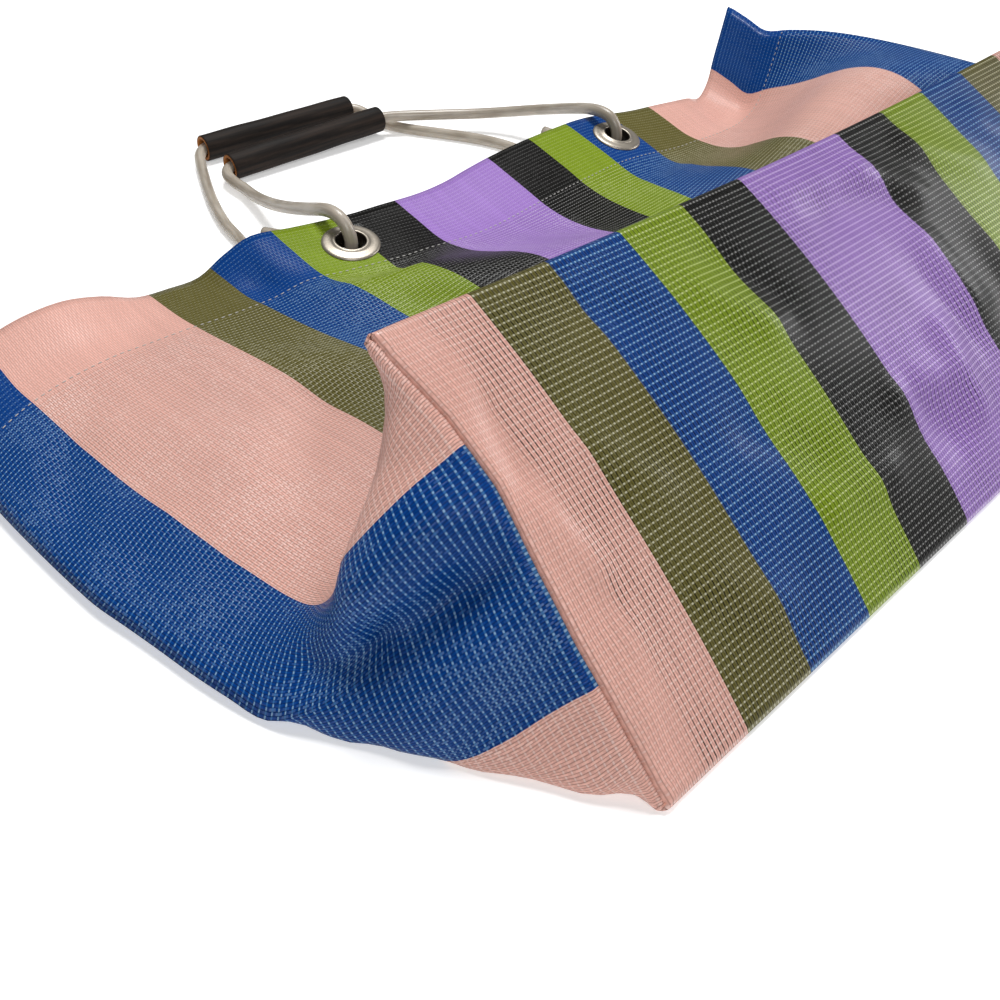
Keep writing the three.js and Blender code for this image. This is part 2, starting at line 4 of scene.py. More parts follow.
import bmesh
import bpy
import numpy as np
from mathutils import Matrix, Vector


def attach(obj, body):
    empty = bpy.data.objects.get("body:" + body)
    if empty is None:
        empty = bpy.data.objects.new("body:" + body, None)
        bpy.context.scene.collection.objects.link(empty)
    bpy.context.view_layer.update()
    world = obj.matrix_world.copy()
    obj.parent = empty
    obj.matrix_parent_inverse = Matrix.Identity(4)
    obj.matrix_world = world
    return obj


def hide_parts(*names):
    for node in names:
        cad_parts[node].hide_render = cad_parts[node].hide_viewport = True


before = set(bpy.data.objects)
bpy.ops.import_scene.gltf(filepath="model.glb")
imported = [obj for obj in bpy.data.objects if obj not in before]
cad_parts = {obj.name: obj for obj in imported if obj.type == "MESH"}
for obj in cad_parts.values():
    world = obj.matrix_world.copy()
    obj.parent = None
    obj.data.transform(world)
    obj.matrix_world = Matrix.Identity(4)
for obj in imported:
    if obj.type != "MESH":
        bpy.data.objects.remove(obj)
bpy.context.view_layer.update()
scene = bpy.context.scene


# The view. A camera close over the near floor corner of the base looks along the bag to the far end
# of its mouth. All measures of the bag start at that corner: x along the base, y to the mouth, z up.
MM = 0.001
CORNER = (-158.591, -210.231, 0.0)  # where the corner lies in the frame
CAMERA_AT = (-117.02, -67.47, 204.30)
CAMERA_LOOKS = (0.52698, 0.55239, -0.64587)


def placed(points):
    """Points measured in mm from the near floor corner, as metres in the frame."""
    return (np.asarray(points, float) + CORNER) * MM


def set_out(name, data):
    """A new object of the scene with this data."""
    made = bpy.data.objects.new(name, data)
    scene.collection.objects.link(made)
    return made


view = bpy.data.cameras.new("view")
view.sensor_width = 36
view.lens = 36
view.clip_start = 0.01
camera = set_out("view", view)
camera.location = placed(CAMERA_AT)
camera.rotation_euler = Vector(CAMERA_LOOKS).to_track_quat("-Z", "Y").to_euler()
scene.camera = camera


# Handle cords. Each is one smooth round cord of soft, slightly see-through plastic, threaded through
# the two eyelets of a panel from outside. Its cut ends lie bare inside the mouth.
CORD = 5.5
CORD_SIDES = 20
CORD_STEP = 1.6
ROUTE_STEPS = 24  # points between two places of a route, before they are spaced evenly
# The cords' middle lines, from one cut end to the other
FRONT_ROUTE = [
    (90, 298, 11.8), (93.5, 287, 12.8), (97, 274, 14), (98.7, 265, 14.4), (99, 259.6, 14.3),
    (99.1, 254.9, 14.4), (99.1, 250.3, 15.6), (98.9, 246.9, 18.9), (98.7, 245.7, 23.5), (98.5, 246.9, 28),
    (98.3, 250.3, 31.3), (98.2, 254.9, 32.5), (98.2, 259.7, 32.2), (98.7, 266, 30.4), (100.2, 276, 26.8),
    (103.2, 294, 20.6), (107, 313, 14.6), (111.5, 332, 9.4), (115.4, 348, 6.1), (118, 360, 4.9),
    (118.6, 368.6, 4.9), (119.3, 374.8, 5.3), (121.1, 380.1, 5.9), (124.7, 383.5, 6.4), (130, 384.6, 6.8),
    (138, 384, 7), (150, 383, 7.1), (205, 381.9, 8.5), (213.5, 381.8, 8.9), (221.2, 379.7, 9.3),
    (228, 375, 9.6), (238, 368, 9.4), (251, 359, 9), (262.5, 347.5, 9.6), (271, 333.5, 12),
    (275, 316, 16.4), (272.5, 298, 22), (267.5, 282, 27.4), (263, 269, 31.6), (261.6, 261.4, 33.2),
    (261.6, 256.5, 33.2), (261.8, 251.9, 32), (262, 248.5, 28.6), (262, 247.2, 23.9), (262, 248.5, 19.3),
    (262, 251.9, 15.9), (261.9, 256.5, 14.6), (261.5, 261.4, 14.5), (260.6, 268, 14.7), (259, 279, 15),
    (257.4, 292, 15.4),
]
REAR_ROUTE = [
    (69.4, 208, 8), (69.5, 217.5, 8.6), (69.8, 227, 9.9), (70, 234, 10.8), (70.1, 238.5, 10.1),
    (70.2, 242.4, 7.6), (70.3, 246, 4.9), (70.5, 249.6, 3.2), (71, 254, 2.8), (72.4, 261, 2.85),
    (75, 272, 2.85), (80, 289, 2.85), (84.4, 304, 2.85), (88, 318, 2.85), (92, 336, 2.85),
    (99.5, 358, 2.85), (107, 376, 2.85), (114, 391.4, 3.2), (119.2, 402.4, 4.2), (124, 410.8, 5.6),
    (129.4, 415, 6.4), (137, 415.9, 6.7), (150, 414.2, 6.7), (200, 412.8, 6.7), (214.5, 413.4, 6.7),
    (220, 411.9, 6.5), (224, 407.9, 5.9), (225.5, 402.4, 4.8), (226, 394, 3.3), (226.8, 385, 2.85),
    (229, 375.6, 2.85), (232.7, 366.8, 2.85), (238.5, 355.5, 2.85), (244.6, 342.8, 2.85),
    (250, 329, 2.85), (253, 315, 2.85), (252.8, 301, 2.85), (249, 287, 2.85), (242.5, 273, 2.85),
    (235, 261, 2.85), (230.2, 254.4, 2.85), (227.2, 250, 2.95), (225.4, 246.4, 4.1), (224.5, 242.6, 6.9),
    (223.9, 239, 9.8), (223.4, 234.4, 11.4), (223, 225, 10.8), (222.6, 209, 8.8),
]


class Shade:
    """An output of a material's nodes. Sums on it add Math nodes, and node() adds any other node."""

    def __init__(self, tree, socket=None):
        self.tree = tree
        self.socket = socket

    def node(self, kind, settings, inputs, output=0):
        """A node of this type, its settings made first, then its sockets' values or links."""
        made = self.tree.nodes.new(kind)
        for name, value in settings.items():
            if name == "stops":
                stops = made.color_ramp.elements
                stops.remove(stops[1])
                stops[0].position, stops[0].color = value[0]
                for place, colour in value[1:]:
                    stops.new(place).color = colour
            elif name == "ramp":
                made.color_ramp.interpolation = value
            else:
                setattr(made, name, value)
        for name, value in inputs.items():
            if isinstance(value, Shade):
                self.tree.links.new(value.socket, made.inputs[name])
            else:
                made.inputs[name].default_value = value
        return Shade(self.tree, made.outputs[output])

    def sum(self, operation, *values):
        return self.node("ShaderNodeMath", {"operation": operation}, dict(enumerate(values)))

    def __add__(self, other):
        return self.sum("ADD", self, other)

    __radd__ = __add__

    def __sub__(self, other):
        return self.sum("SUBTRACT", self, other)

    def __rsub__(self, other):
        return self.sum("SUBTRACT", other, self)

    def __mul__(self, other):
        return self.sum("MULTIPLY", self, other)

    __rmul__ = __mul__

    def __truediv__(self, other):
        return self.sum("DIVIDE", self, other)

    def __rtruediv__(self, other):
        return self.sum("DIVIDE", other, self)

    def whole(self):
        return self.sum("FLOOR", self)

    def part(self):
        return self.sum("FRACT", self)

    def size(self):
        return self.sum("ABSOLUTE", self)

    def greatest(self, other):
        return self.sum("MAXIMUM", self, other)

    def ease(self, low, high):
        """0 at low and 1 at high, eased between them; low may be the greater."""
        settings = {"interpolation_type": "SMOOTHSTEP"}
        return self.node("ShaderNodeMapRange", settings, {"Value": self, "From Min": low, "From Max": high})

    def mix(self, one, other):
        """The first colour where this is 0, the second where it is 1."""
        return self.node("ShaderNodeMix", {"data_type": "RGBA"}, {0: self, 6: one, 7: other}, 2)

    def times(self, amounts):
        """A colour or vector with each of its parts multiplied."""
        return self.node("ShaderNodeVectorMath", {"operation": "MULTIPLY"}, {0: self, 1: amounts})

    def noise(self, at, scale=1.0, detail=2.0):
        return self.node("ShaderNodeTexNoise", {}, {"Vector": at, "Scale": scale, "Detail": detail})

    def bump(self, strength, depth):
        """Relief that follows this height, for a surface's Normal."""
        return self.node("ShaderNodeBump", {}, {"Strength": strength, "Distance": depth, "Height": self})

    def lie(self):
        """Where a spot lies on the piece's own flat map."""
        return self.node("ShaderNodeUVMap", {"uv_map": "lie"}, {})

    def marks(self, name):
        """The numbers that a piece keeps at its points under this name."""
        return self.node("ShaderNodeAttribute", {"attribute_name": name}, {}, 2)


def light(red, green, blue):
    """A colour given in the 0 to 255 steps of a screen, as the amounts of light it stands for."""
    steps = np.array([red, green, blue]) / 255
    return (*np.where(steps <= 0.04045, steps / 12.92, ((steps + 0.055) / 1.055) ** 2.4), 1.0)


def finish(name, base):
    """A new material with these values on its surface shader, and the start of its node maths."""
    made = bpy.data.materials.new(name)
    made.use_nodes = True
    surface = made.node_tree.nodes["Principled BSDF"]
    for socket, value in base.items():
        surface.inputs[socket].default_value = value
    return made, Shade(made.node_tree), surface


def feed(surface, inputs):
    """Links what changes over a surface to its shader."""
    for name, shade in inputs.items():
        shade.tree.links.new(shade.socket, surface.inputs[name])


def runs_of(points):
    """How far along a line each of its points is."""
    return np.concatenate([[0], np.cumsum(np.linalg.norm(np.diff(points, axis=0), axis=1))])


def line_at(points, runs):
    """The points this far along a line."""
    return np.stack([np.interp(runs, runs_of(points), points[:, k]) for k in range(3)], -1)


def smooth_route(places, step):
    """A smooth line through the places, its turns fitted to their spacing, with a point at each step."""
    places = np.asarray(places, float)
    ends = np.vstack([2 * places[0] - places[1], places, 2 * places[-1] - places[-2]])
    fine = []
    for before, start, end, after in zip(ends, ends[1:], ends[2:], ends[3:]):
        gaps = [np.linalg.norm(b - a) ** 0.5 for a, b in ((before, start), (start, end), (end, after))]
        leave = (start - before) / gaps[0] - (end - before) / (gaps[0] + gaps[1]) + (end - start) / gaps[1]
        reach = (end - start) / gaps[1] - (after - start) / (gaps[1] + gaps[2]) + (after - end) / gaps[2]
        leave *= gaps[1]
        reach *= gaps[1]
        share = np.linspace(0, 1, ROUTE_STEPS, endpoint=False)[:, None]
        square = share ** 2
        cube = share ** 3
        fine.append(
            (2 * cube - 3 * square + 1) * start + (cube - 2 * square + share) * leave
            + (3 * square - 2 * cube) * end + (cube - square) * reach
        )
    fine = np.vstack([*fine, places[-1:]])
    length = runs_of(fine)[-1]
    return line_at(fine, np.linspace(0, length, int(length / step) + 1)), length


def rings_along(line, radius, sides):
    """Rings of points round a line, each turned as little as can be from the one before it."""
    forward = np.gradient(line, axis=0)
    forward /= np.linalg.norm(forward, axis=1)[:, None]
    side = np.cross(forward[0], (0, 0, 1))
    angles = np.linspace(0, 2 * math.pi, sides, endpoint=False)[:, None]
    rings = []
    for place, ahead in zip(line, forward):
        side = side - ahead * side.dot(ahead)
        side /= np.linalg.norm(side)
        above = np.cross(side, ahead)
        rings.append(place + radius * (np.cos(angles) * side + np.sin(angles) * above))
    return np.array(rings)


def new_piece(name, points, faces, material, spots=None):
    """A smooth mesh piece from points in mm, with a flat map from a spot in metres for each face corner."""
    mesh = bpy.data.meshes.new(name)
    mesh.from_pydata(placed(points).tolist(), [], faces)
    mesh.shade_smooth()
    mesh.materials.append(material)
    if spots is not None:
        flat_map = mesh.uv_layers.new(name="lie")
        flat_map.data.foreach_set("uv", np.asarray(spots, np.float32).ravel())
    return set_out(name, mesh)


def ring_faces(rings, sides, bands):
    """Faces of bands between rings of points, with each corner's ring and side, counted past the last."""
    faces = []
    corners = []
    for r in range(bands):
        for k in range(sides):
            own = [(r, k), (r, k + 1), (r + 1, k + 1), (r + 1, k)]
            faces.append([ring % rings * sides + side % sides for ring, side in own])
            corners += own
    return faces, corners


rope, tree, surface = finish("soft_cord", {
    "IOR": 1.48,
    "Subsurface Weight": 0.25,
    "Subsurface Radius": (0.004, 0.003, 0.002),
    "Subsurface Scale": 0.5,
    "Coat Weight": 0.35,
    "Coat Roughness": 0.2,
})
CORD_DULL = light(146, 135, 120)
CORD_PALE = light(186, 177, 164)
CORD_STREAKS = (40, 500, 1)  # waves in a metre along the cord and round it
lie = tree.lie()
streaks = tree.noise(lie.times(CORD_STREAKS))
clouds = tree.noise(lie, scale=60.0, detail=3.0)
shade = (streaks * 0.6 + clouds * 0.4).ease(0.3, 0.7)
feed(surface, {
    "Base Color": shade.mix(CORD_DULL, CORD_PALE),
    "Roughness": 0.3 + clouds * 0.25,
    "Normal": streaks.bump(strength=0.15, depth=0.3 * MM),
})

cords = {}
for name, route in (("front", FRONT_ROUTE), ("rear", REAR_ROUTE)):
    line, length = smooth_route(route, CORD_STEP)
    rings = rings_along(line, CORD / 2, CORD_SIDES)
    faces, corners = ring_faces(len(line), CORD_SIDES, len(line) - 1)
    for ring, sides in ((0, range(CORD_SIDES - 1, -1, -1)), (len(line) - 1, range(CORD_SIDES))):
        faces.append([ring * CORD_SIDES + side for side in sides])
        corners += [(ring, side) for side in sides]
    turn = math.pi * CORD / CORD_SIDES
    spots = [(ring * CORD_STEP * MM, side * turn * MM) for ring, side in corners]
    cord = new_piece(f"handle_cord_{name}_laid", rings.reshape(-1, 3), faces, rope, spots)
    cords[name] = (cord, line, length)


# Grips. Each handle carries a sleeve of dark hide over the middle of its cord, loose enough to slide.
# Its ends are cut raw and show the tan middle of the hide.
GRIP = 6.7
GRIP_BORE = 4.6
GRIP_SIDES = 36
GRIP_RINGS = 30
GRIP_MIDDLE = (0.05, 0.95)  # shares of its length between which those rings lie
GRIP_WORN = 0.985  # share of the full radius that its outside has before it is made uneven
# Its unevenness: height as a share of the radius, waves round it, and mm along it for each radian
GRIP_WAVES = [(0.012, 3, 9), (0.01, 2, 5)]
GRIP_ENDS = [
    {"name": "front", "from": (124.9, 383.5, 6.7), "to": (219, 381.5, 8.6)},
    {"name": "rear", "from": (128.3, 414.8, 6.7), "to": (220.2, 412, 6.7)},
]
# Section of a sleeve's end, from its bore to its outside: how far in from the end, how far from the
# axis, and 1 where the raw cut shows
SLEEVE_END = [
    (6.0, GRIP_BORE, 0), (0.3, GRIP_BORE + 0.05, 1), (0.0, GRIP_BORE + 0.35, 1), (0.0, GRIP - 0.9, 1),
    (0.15, GRIP - 0.4, 0), (0.6, GRIP - 0.12, 0), (1.6, GRIP, 0),
]

hide, tree, surface = finish("dark_hide", {"IOR": 1.5, "Specular IOR Level": 0.16})
HIDE_BLACK = light(15, 11, 9)
HIDE_BROWN = light(44, 34, 28)
CUT_TAN = light(120, 66, 22)
CUT_PALE = light(176, 112, 50)
HIDE_STREAKS = (25, 420, 1)  # waves in a metre along the sleeve and round it
lie = tree.lie()
streaks = tree.noise(lie.times(HIDE_STREAKS), detail=4.0)
pores = tree.node("ShaderNodeTexVoronoi", {}, {"Vector": lie, "Scale": 1400.0})
fibres = tree.noise(lie, scale=1800.0)
dark = streaks.ease(0.35, 0.7).mix(HIDE_BLACK, HIDE_BROWN)
feed(surface, {
    "Base Color": tree.marks("raw").mix(dark, fibres.mix(CUT_TAN, CUT_PALE)),
    "Roughness": 0.5 + streaks * 0.25,
    "Normal": (streaks + pores * 0.4).bump(strength=0.35, depth=0.3 * MM),
})


def mark(piece, name, values):
    """Keeps a number at each point of a piece, for its material."""
    marks = piece.data.attributes.new(name, "FLOAT", "POINT")
    marks.data.foreach_set("value", values)


for row in GRIP_ENDS:
    start = np.array(row["from"], float)
    along = np.array(row["to"], float) - start
    length = np.linalg.norm(along)
    along /= length
    side = np.cross(along, (0, 0, 1))
    side /= np.linalg.norm(side)
    above = np.cross(side, along)
    middle = [(share * length, GRIP, 0) for share in np.linspace(*GRIP_MIDDLE, GRIP_RINGS)]
    right = [(length - inset, radius, raw) for inset, radius, raw in reversed(SLEEVE_END)]
    section = SLEEVE_END + middle + right
    points = []
    rawness = []
    for place, radius, raw in section:
        for k in range(GRIP_SIDES):
            angle = 2 * math.pi * k / GRIP_SIDES
            reach = radius
            if radius == GRIP:
                uneven = sum(high * math.sin(waves * angle + place / run) for high, waves, run in GRIP_WAVES)
                reach *= (1 + uneven) * GRIP_WORN
            points.append(start + along * place + reach * (math.cos(angle) * side + math.sin(angle) * above))
            rawness.append(raw)
    faces, corners = ring_faces(len(section), GRIP_SIDES, len(section))
    turn = 2 * math.pi * GRIP / GRIP_SIDES
    spots = [(section[ring % len(section)][0] * MM, side * turn * MM) for ring, side in corners]
    grip = new_piece(f"grip_{row['name']}_sleeve", points, faces, hide, spots)
    mark(grip, "raw", rawness)
    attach(grip, "root")
    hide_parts(f"grip_{row['name']}")

for name, (cord, line, length) in cords.items():
    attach(cord, "root")
    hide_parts(f"handle_cord_{name}")
    round(length * MM, 3)


# Net body. Front, bottom and back are one strip of woven net, sewn up both sides and boxed at the
# corners of the base, with its top edge turned in and stitched down. Flat yarns of coated plastic run
# up the bag in stripes, and a thin clear thread ties them across.
BASE_WIDTH = 345
BASE_DEPTH = 130
BAG_HEIGHT = 260
HEM_DEPTH = 36
HEM_FOOT = BAG_HEIGHT - HEM_DEPTH
ALLOWANCE = 14  # cloth turned in beside a seam
SHEET = 1.0
FLOOR = 1.0  # height of the sheet's inner face where it lies on the floor
LEAN_REACH = 100  # how far back and how high the leaning base's top edge is
LEAN_RISE = 82
BASE_BELLY = 6
RIDGE_SAG = 4
FRONT_LIES = 15  # the lowest that the fallen front and the near side's fold lie
NEAR_FOLD_LIES = 4
FAR_FOLD_STANDS = 57
HEM_SLOPE = 0.28
HEM_LOW = 24  # a front hem edge lower than this slopes less
FLARE = 34  # the part of the back panel that rises to its hem edge

# The sheet's columns go round the mouth from the near side's fold, its rows from base seam to hem
SIDE_COLUMNS = 10
PANEL_COLUMNS = 26
GROUPS = [SIDE_COLUMNS // 2, PANEL_COLUMNS, SIDE_COLUMNS, PANEL_COLUMNS, SIDE_COLUMNS // 2]
FRONT_NEAR, FRONT_FAR, BACK_FAR, BACK_NEAR, COLUMNS = np.cumsum(GROUPS).tolist()
FAR_FOLD = FRONT_FAR + SIDE_COLUMNS // 2
ROWS = 20
ROW = BAG_HEIGHT / ROWS
HALF_GIRTH = BASE_WIDTH + BASE_DEPTH
GIRTH = 2 * HALF_GIRTH
HALF_SIDE = BASE_DEPTH / 2

# The hem edge as it lies, with a row for each rise and dip
FRONT_HEM = [
    (-66, 266, 5), (-52, 272, 16), (-30, 277, 22), (-8, 278, 23), (8, 277, 19.5), (24, 275, 14),
    (40, 274, 14), (54, 273, 20), (68, 271, 26), (104, 263, 26.5), (135, 259, 25), (157, 258, 25.5),
    (183, 260, 28), (211, 262.5, 29), (240, 265, 28.5), (262, 265.5, 28), (285, 262, 25.5),
    (308, 259, 24.5), (330, 258.5, 22.5), (350, 261, 20), (364, 266, 38), (376, 270, 58),
]
BACK_HEM = [
    (376, 270, 58), (378, 268, 32), (363, 264, 3), (336, 263, 1), (270, 262, 1.5), (247, 261, 8),
    (228, 261, 15), (209, 261, 8), (186, 262, 1.5), (150, 262, 1), (116, 262, 1.5), (93, 261, 8),
    (74, 261, 15), (55, 261, 8), (32, 262, 1.5), (0, 264, 1), (-42, 266, 1.2), (-66, 266, 5),
]
# Lie of the near side from the base to the hem: the crease down its middle, and the columns below it,
# which come down to the floor one after another and run on under the bag
NEAR_SIDE = [
    [(0, 46.2, 46.6), (-24.5, 60, 25), (-49, 80, 4), (-56, 101, 3.4), (-61, 130, 3.6), (-65, 154, 4),
     (-67.5, 209, 4.4), (-66, 266, 5)],
    [(0, 36.3, 38.3), (-20, 49, 20), (-39.5, 64.5, 1.6), (-42.5, 82, 1), (-45, 110, 1), (-49, 150, 1),
     (-54, 209, 1.2), (-53.5, 266, 2.8)],
    [(0, 26.8, 29.5), (-15, 38, 15), (-29.5, 49.5, 1.2), (-33, 66, 1), (-33, 92, 1), (-36, 140, 1),
     (-41, 209, 1), (-41, 265.8, 1.3)],
    [(0, 17.6, 20.4), (-11, 26, 10), (-21.5, 34, 1.2), (-24, 48, 1), (-23, 72, 1), (-24, 130, 1),
     (-28, 209, 1), (-27.6, 265.3, 1.15)],
    [(0, 8.6, 10.9), (-6, 13, 5), (-11.5, 17, 1.2), (-13, 30, 1), (-12.5, 52, 1), (-12, 130, 1),
     (-15, 209, 1), (-14.6, 264.7, 1.1)],
]
CREASES = {(COLUMNS - below) % COLUMNS: rows for below, rows in enumerate(NEAR_SIDE)}

SPANS = [HALF_SIDE, BASE_WIDTH, BASE_DEPTH, BASE_WIDTH, HALF_SIDE]
widths = np.repeat(np.divide(SPANS, GROUPS), GROUPS)
around_at = np.concatenate([[0], np.cumsum(widths)])
column_count = np.arange(COLUMNS + 1)
row_count = np.arange(ROWS + 1)


def base_point(x, up):
    """A point of the leaning base, x along it and up it from the floor edge."""
    x = np.asarray(x, float)
    share = np.asarray(up, float) / BASE_DEPTH
    belly = BASE_BELLY * 4 * share * (1 - share)
    slope = math.hypot(LEAN_REACH, LEAN_RISE)
    sag = RIDGE_SAG * np.sin(math.pi * x / BASE_WIDTH) * share
    return np.stack([
        x,
        LEAN_REACH * share - belly * LEAN_RISE / slope,
        FLOOR + LEAN_RISE * share + belly * LEAN_REACH / slope - sag,
    ], -1)


# How far round the bag each corner of the base is, and the x and up of the base edge there
CORNERS = np.cumsum([0, *SPANS])
EDGE_X = [0, 0, BASE_WIDTH, BASE_WIDTH, 0, 0]
EDGE_UP = [HALF_SIDE, BASE_DEPTH, BASE_DEPTH, 0, 0, HALF_SIDE]


def seam_point(around):
    """A point of the base's edge, this far round the bag."""
    return base_point(np.interp(around, CORNERS, EDGE_X), np.interp(around, CORNERS, EDGE_UP))


def smooth_through(rows, places):
    """A smooth surface or line through rows of points, at these places counted in rows."""
    rows = np.asarray(rows, float)
    ends = np.concatenate([2 * rows[:1] - rows[1:2], rows, 2 * rows[-1:] - rows[-2:-1]])
    first = np.clip(np.floor(places).astype(int), 0, len(rows) - 2)
    share = (np.asarray(places) - first).reshape(-1, *[1] * (rows.ndim - 1))
    before, start, end, after = (ends[first + k] for k in range(4))
    return 0.5 * (
        2 * start + (end - before) * share
        + (2 * before - 5 * start + 4 * end - after) * share ** 2
        + (3 * start - before - 3 * end + after) * share ** 3
    )


CURVE_STEPS = 40


def along_curve(rows, shares):
    """Points at these shares of the length of a smooth line through the rows."""
    fine = smooth_through(rows, np.linspace(0, len(rows) - 1, CURVE_STEPS * len(rows)))
    return line_at(fine, np.asarray(shares) * runs_of(fine)[-1])


LIE_RISES = HALF_SIDE + 20  # from the near fold to where the front has its full height


def lowest_of(i):
    """How low a column of the sheet may lie."""
    if i > FAR_FOLD:
        return FLOOR
    risen = min(1, around_at[i] / LIE_RISES)
    return NEAR_FOLD_LIES + (FRONT_LIES - NEAR_FOLD_LIES) * risen


# Where the columns turn before they settle, with a row each for x, y and z: its start, and what is added
# at the middle of the side, up the base, and up the upper half of the base
NEAR_TURN = [(0, -62, 0, 0), (18, 20, 60, 0), (2, 0, 0, 12)]
FAR_TURN = [(BASE_WIDTH, 30, 0, 0), (40, 0, 80, 0), (2, 50, 12, 0)]
FRONT_TURN = (4, 63, 17)


def elbow_of(i, seam, up):
    """Where a column of the sheet turns on its way from the base to the hem."""
    if FRONT_NEAR <= i <= FRONT_FAR:
        return np.array([seam[0] + FRONT_TURN[0], *FRONT_TURN[1:]])
    middle = 1 - abs(2 * up - 1)
    upper = max(0, 2 * up - 1)
    turn = FAR_TURN if FRONT_FAR < i < BACK_FAR else NEAR_TURN
    return np.array([start + bulge * middle + rise * up + lift * upper for start, bulge, rise, lift in turn])


hem_edge = np.concatenate([
    along_curve(FRONT_HEM, around_at[:FAR_FOLD] / HALF_GIRTH),
    along_curve(BACK_HEM, around_at[FAR_FOLD:COLUMNS] / HALF_GIRTH - 1),
])
cloth = np.zeros((COLUMNS, ROWS + 1, 3))
held = np.zeros((COLUMNS, ROWS + 1), bool)
from_edge = BAG_HEIGHT - row_count * ROW
held[:, 0] = True
held[:, from_edge < HEM_DEPTH] = True
for i in range(COLUMNS):
    seam = seam_point(around_at[i])
    last = hem_edge[i]
    if i in CREASES:
        cloth[i] = along_curve(CREASES[i], row_count / ROWS)
        held[i] = True
    elif BACK_FAR <= i <= BACK_NEAR:
        cloth[i] = seam + (last - seam) * np.linspace(0, 1, ROWS + 1)[:, None]
        cloth[i, :, 2] = FLOOR + (last[2] - FLOOR) * np.maximum(0, 1 - from_edge / FLARE)
        held[i] = True
    else:
        elbow = elbow_of(i, seam, np.interp(around_at[i], CORNERS, EDGE_UP) / BASE_DEPTH)
        lower = np.linalg.norm(elbow - seam)
        upper = np.linalg.norm(last - elbow)
        runs = np.linspace(0, lower + upper, ROWS + 1)
        for j, depth in enumerate(from_edge):
            if depth < HEM_DEPTH:
                cloth[i, j] = last
                cloth[i, j, 1] -= depth * math.cos(math.atan(HEM_SLOPE))
                fall = HEM_SLOPE * depth * min(1, last[2] / HEM_LOW)
                cloth[i, j, 2] = max(lowest_of(i), last[2] - fall)
            elif runs[j] <= lower:
                cloth[i, j] = seam + (elbow - seam) * runs[j] / lower
            else:
                cloth[i, j] = elbow + (last - elbow) * (runs[j] - lower) / upper

# Threads keep their length, and longer ones resist bending: columns across, rows along, and hold
THREADS = [
    (0, 1, 1.0), (1, 0, 1.0), (1, 1, 0.35), (1, -1, 0.35),
    (0, 2, 0.25), (2, 0, 0.25), (0, 4, 0.1), (4, 0, 0.1),
]
links = []
for across, along, hold in THREADS:
    span = max(across, abs(along))
    for turn in (0, 1):
        pairs = []
        for i in range(COLUMNS):
            between = [(i + step) % COLUMNS for step in range(1, across)]
            for j in range(max(0, -along), ROWS + 1 - max(0, along)):
                if ((i if across else j) // span) % 2 == turn and not {0, FAR_FOLD} & set(between):
                    wide = sum(widths[(i + step) % COLUMNS] for step in range(across))
                    one = i * (ROWS + 1) + j
                    other = (i + across) % COLUMNS * (ROWS + 1) + j + along
                    pairs.append((one, other, math.hypot(wide, along * ROW)))
        pairs = np.array(pairs)
        links.append((pairs[:, 0].astype(int), pairs[:, 1].astype(int), pairs[:, 2], hold))

# Limits: what lies below each point, the standing far fold, how far the cloth keeps behind the leaning
# base, and the gap between a side's two layers; the last two grow by each row or column up to a most
FOLD_STANDS_BY = 0.35
SIDE_BEHIND = {"grows": 2.0, "most": 6.0}
FRONT_BEHIND = {"grows": 5.0, "most": 12.0}
LAYER_GAP = {"grows": 4, "most": 9}
base_out = np.array([0, -LEAN_RISE, LEAN_REACH]) / math.hypot(LEAN_RISE, LEAN_REACH)
lowest = np.array([[lowest_of(i)] * (ROWS + 1) for i in range(COLUMNS)])
fold_seam = seam_point(around_at[FAR_FOLD])[2]
lowest[FAR_FOLD] = np.interp(row_count / ROWS, [0, FOLD_STANDS_BY], [fold_seam, FAR_FOLD_STANDS])
behind = np.tile(np.minimum(SIDE_BEHIND["most"], SIDE_BEHIND["grows"] * row_count), (COLUMNS, 1))
behind[FRONT_NEAR:FRONT_FAR + 1] = np.minimum(FRONT_BEHIND["most"], FRONT_BEHIND["grows"] * row_count)
layers = [
    (min(LAYER_GAP["most"], LAYER_GAP["grows"] * k), low % COLUMNS, high, axis)
    for k in range(1, FRONT_NEAR + 1)
    for low, high, axis in ((FAR_FOLD - k, FAR_FOLD + k, 0), (COLUMNS - k, k, 2))
]

# The cloth falls and comes to rest, then its creases soften, as the stiff net does
ROUNDS = 1200
SWEEPS = 2
GRAVITY = 0.08
DRAG = 0.9
SOFTENINGS = 14
SOFTEN = 0.25
NO_LENGTH = 1e-6
free = (~held).reshape(-1).astype(float)[:, None]
flat_cloth = cloth.reshape(-1, 3)
before = flat_cloth.copy()
for step in range(ROUNDS):
    speed = (flat_cloth - before) * DRAG * free
    before = flat_cloth.copy()
    flat_cloth += speed
    flat_cloth[:, 2] -= GRAVITY * free[:, 0]
    for sweep in range(SWEEPS):
        for one, other, length, hold in links:
            pull = flat_cloth[other] - flat_cloth[one]
            reach = np.maximum(np.linalg.norm(pull, axis=1), NO_LENGTH)
            movers = np.maximum(free[one, 0] + free[other, 0], 1)
            pull *= (hold * (reach - length) / reach / movers)[:, None]
            flat_cloth[one] += pull * free[one]
            flat_cloth[other] -= pull * free[other]
        for gap, low, high, axis in layers:
            lack = np.maximum(0, gap - cloth[high, 1:-1, axis] + cloth[low, 1:-1, axis]) / 2
            cloth[low, 1:-1, axis] -= lack * ~held[low, 1:-1]
            cloth[high, 1:-1, axis] += lack * ~held[high, 1:-1]
        ahead = np.maximum(0, cloth @ base_out - FLOOR * base_out[2] + behind) * ~held
        cloth -= ahead[..., None] * base_out
        cloth[..., 2] = np.where(held, cloth[..., 2], np.maximum(cloth[..., 2], lowest))
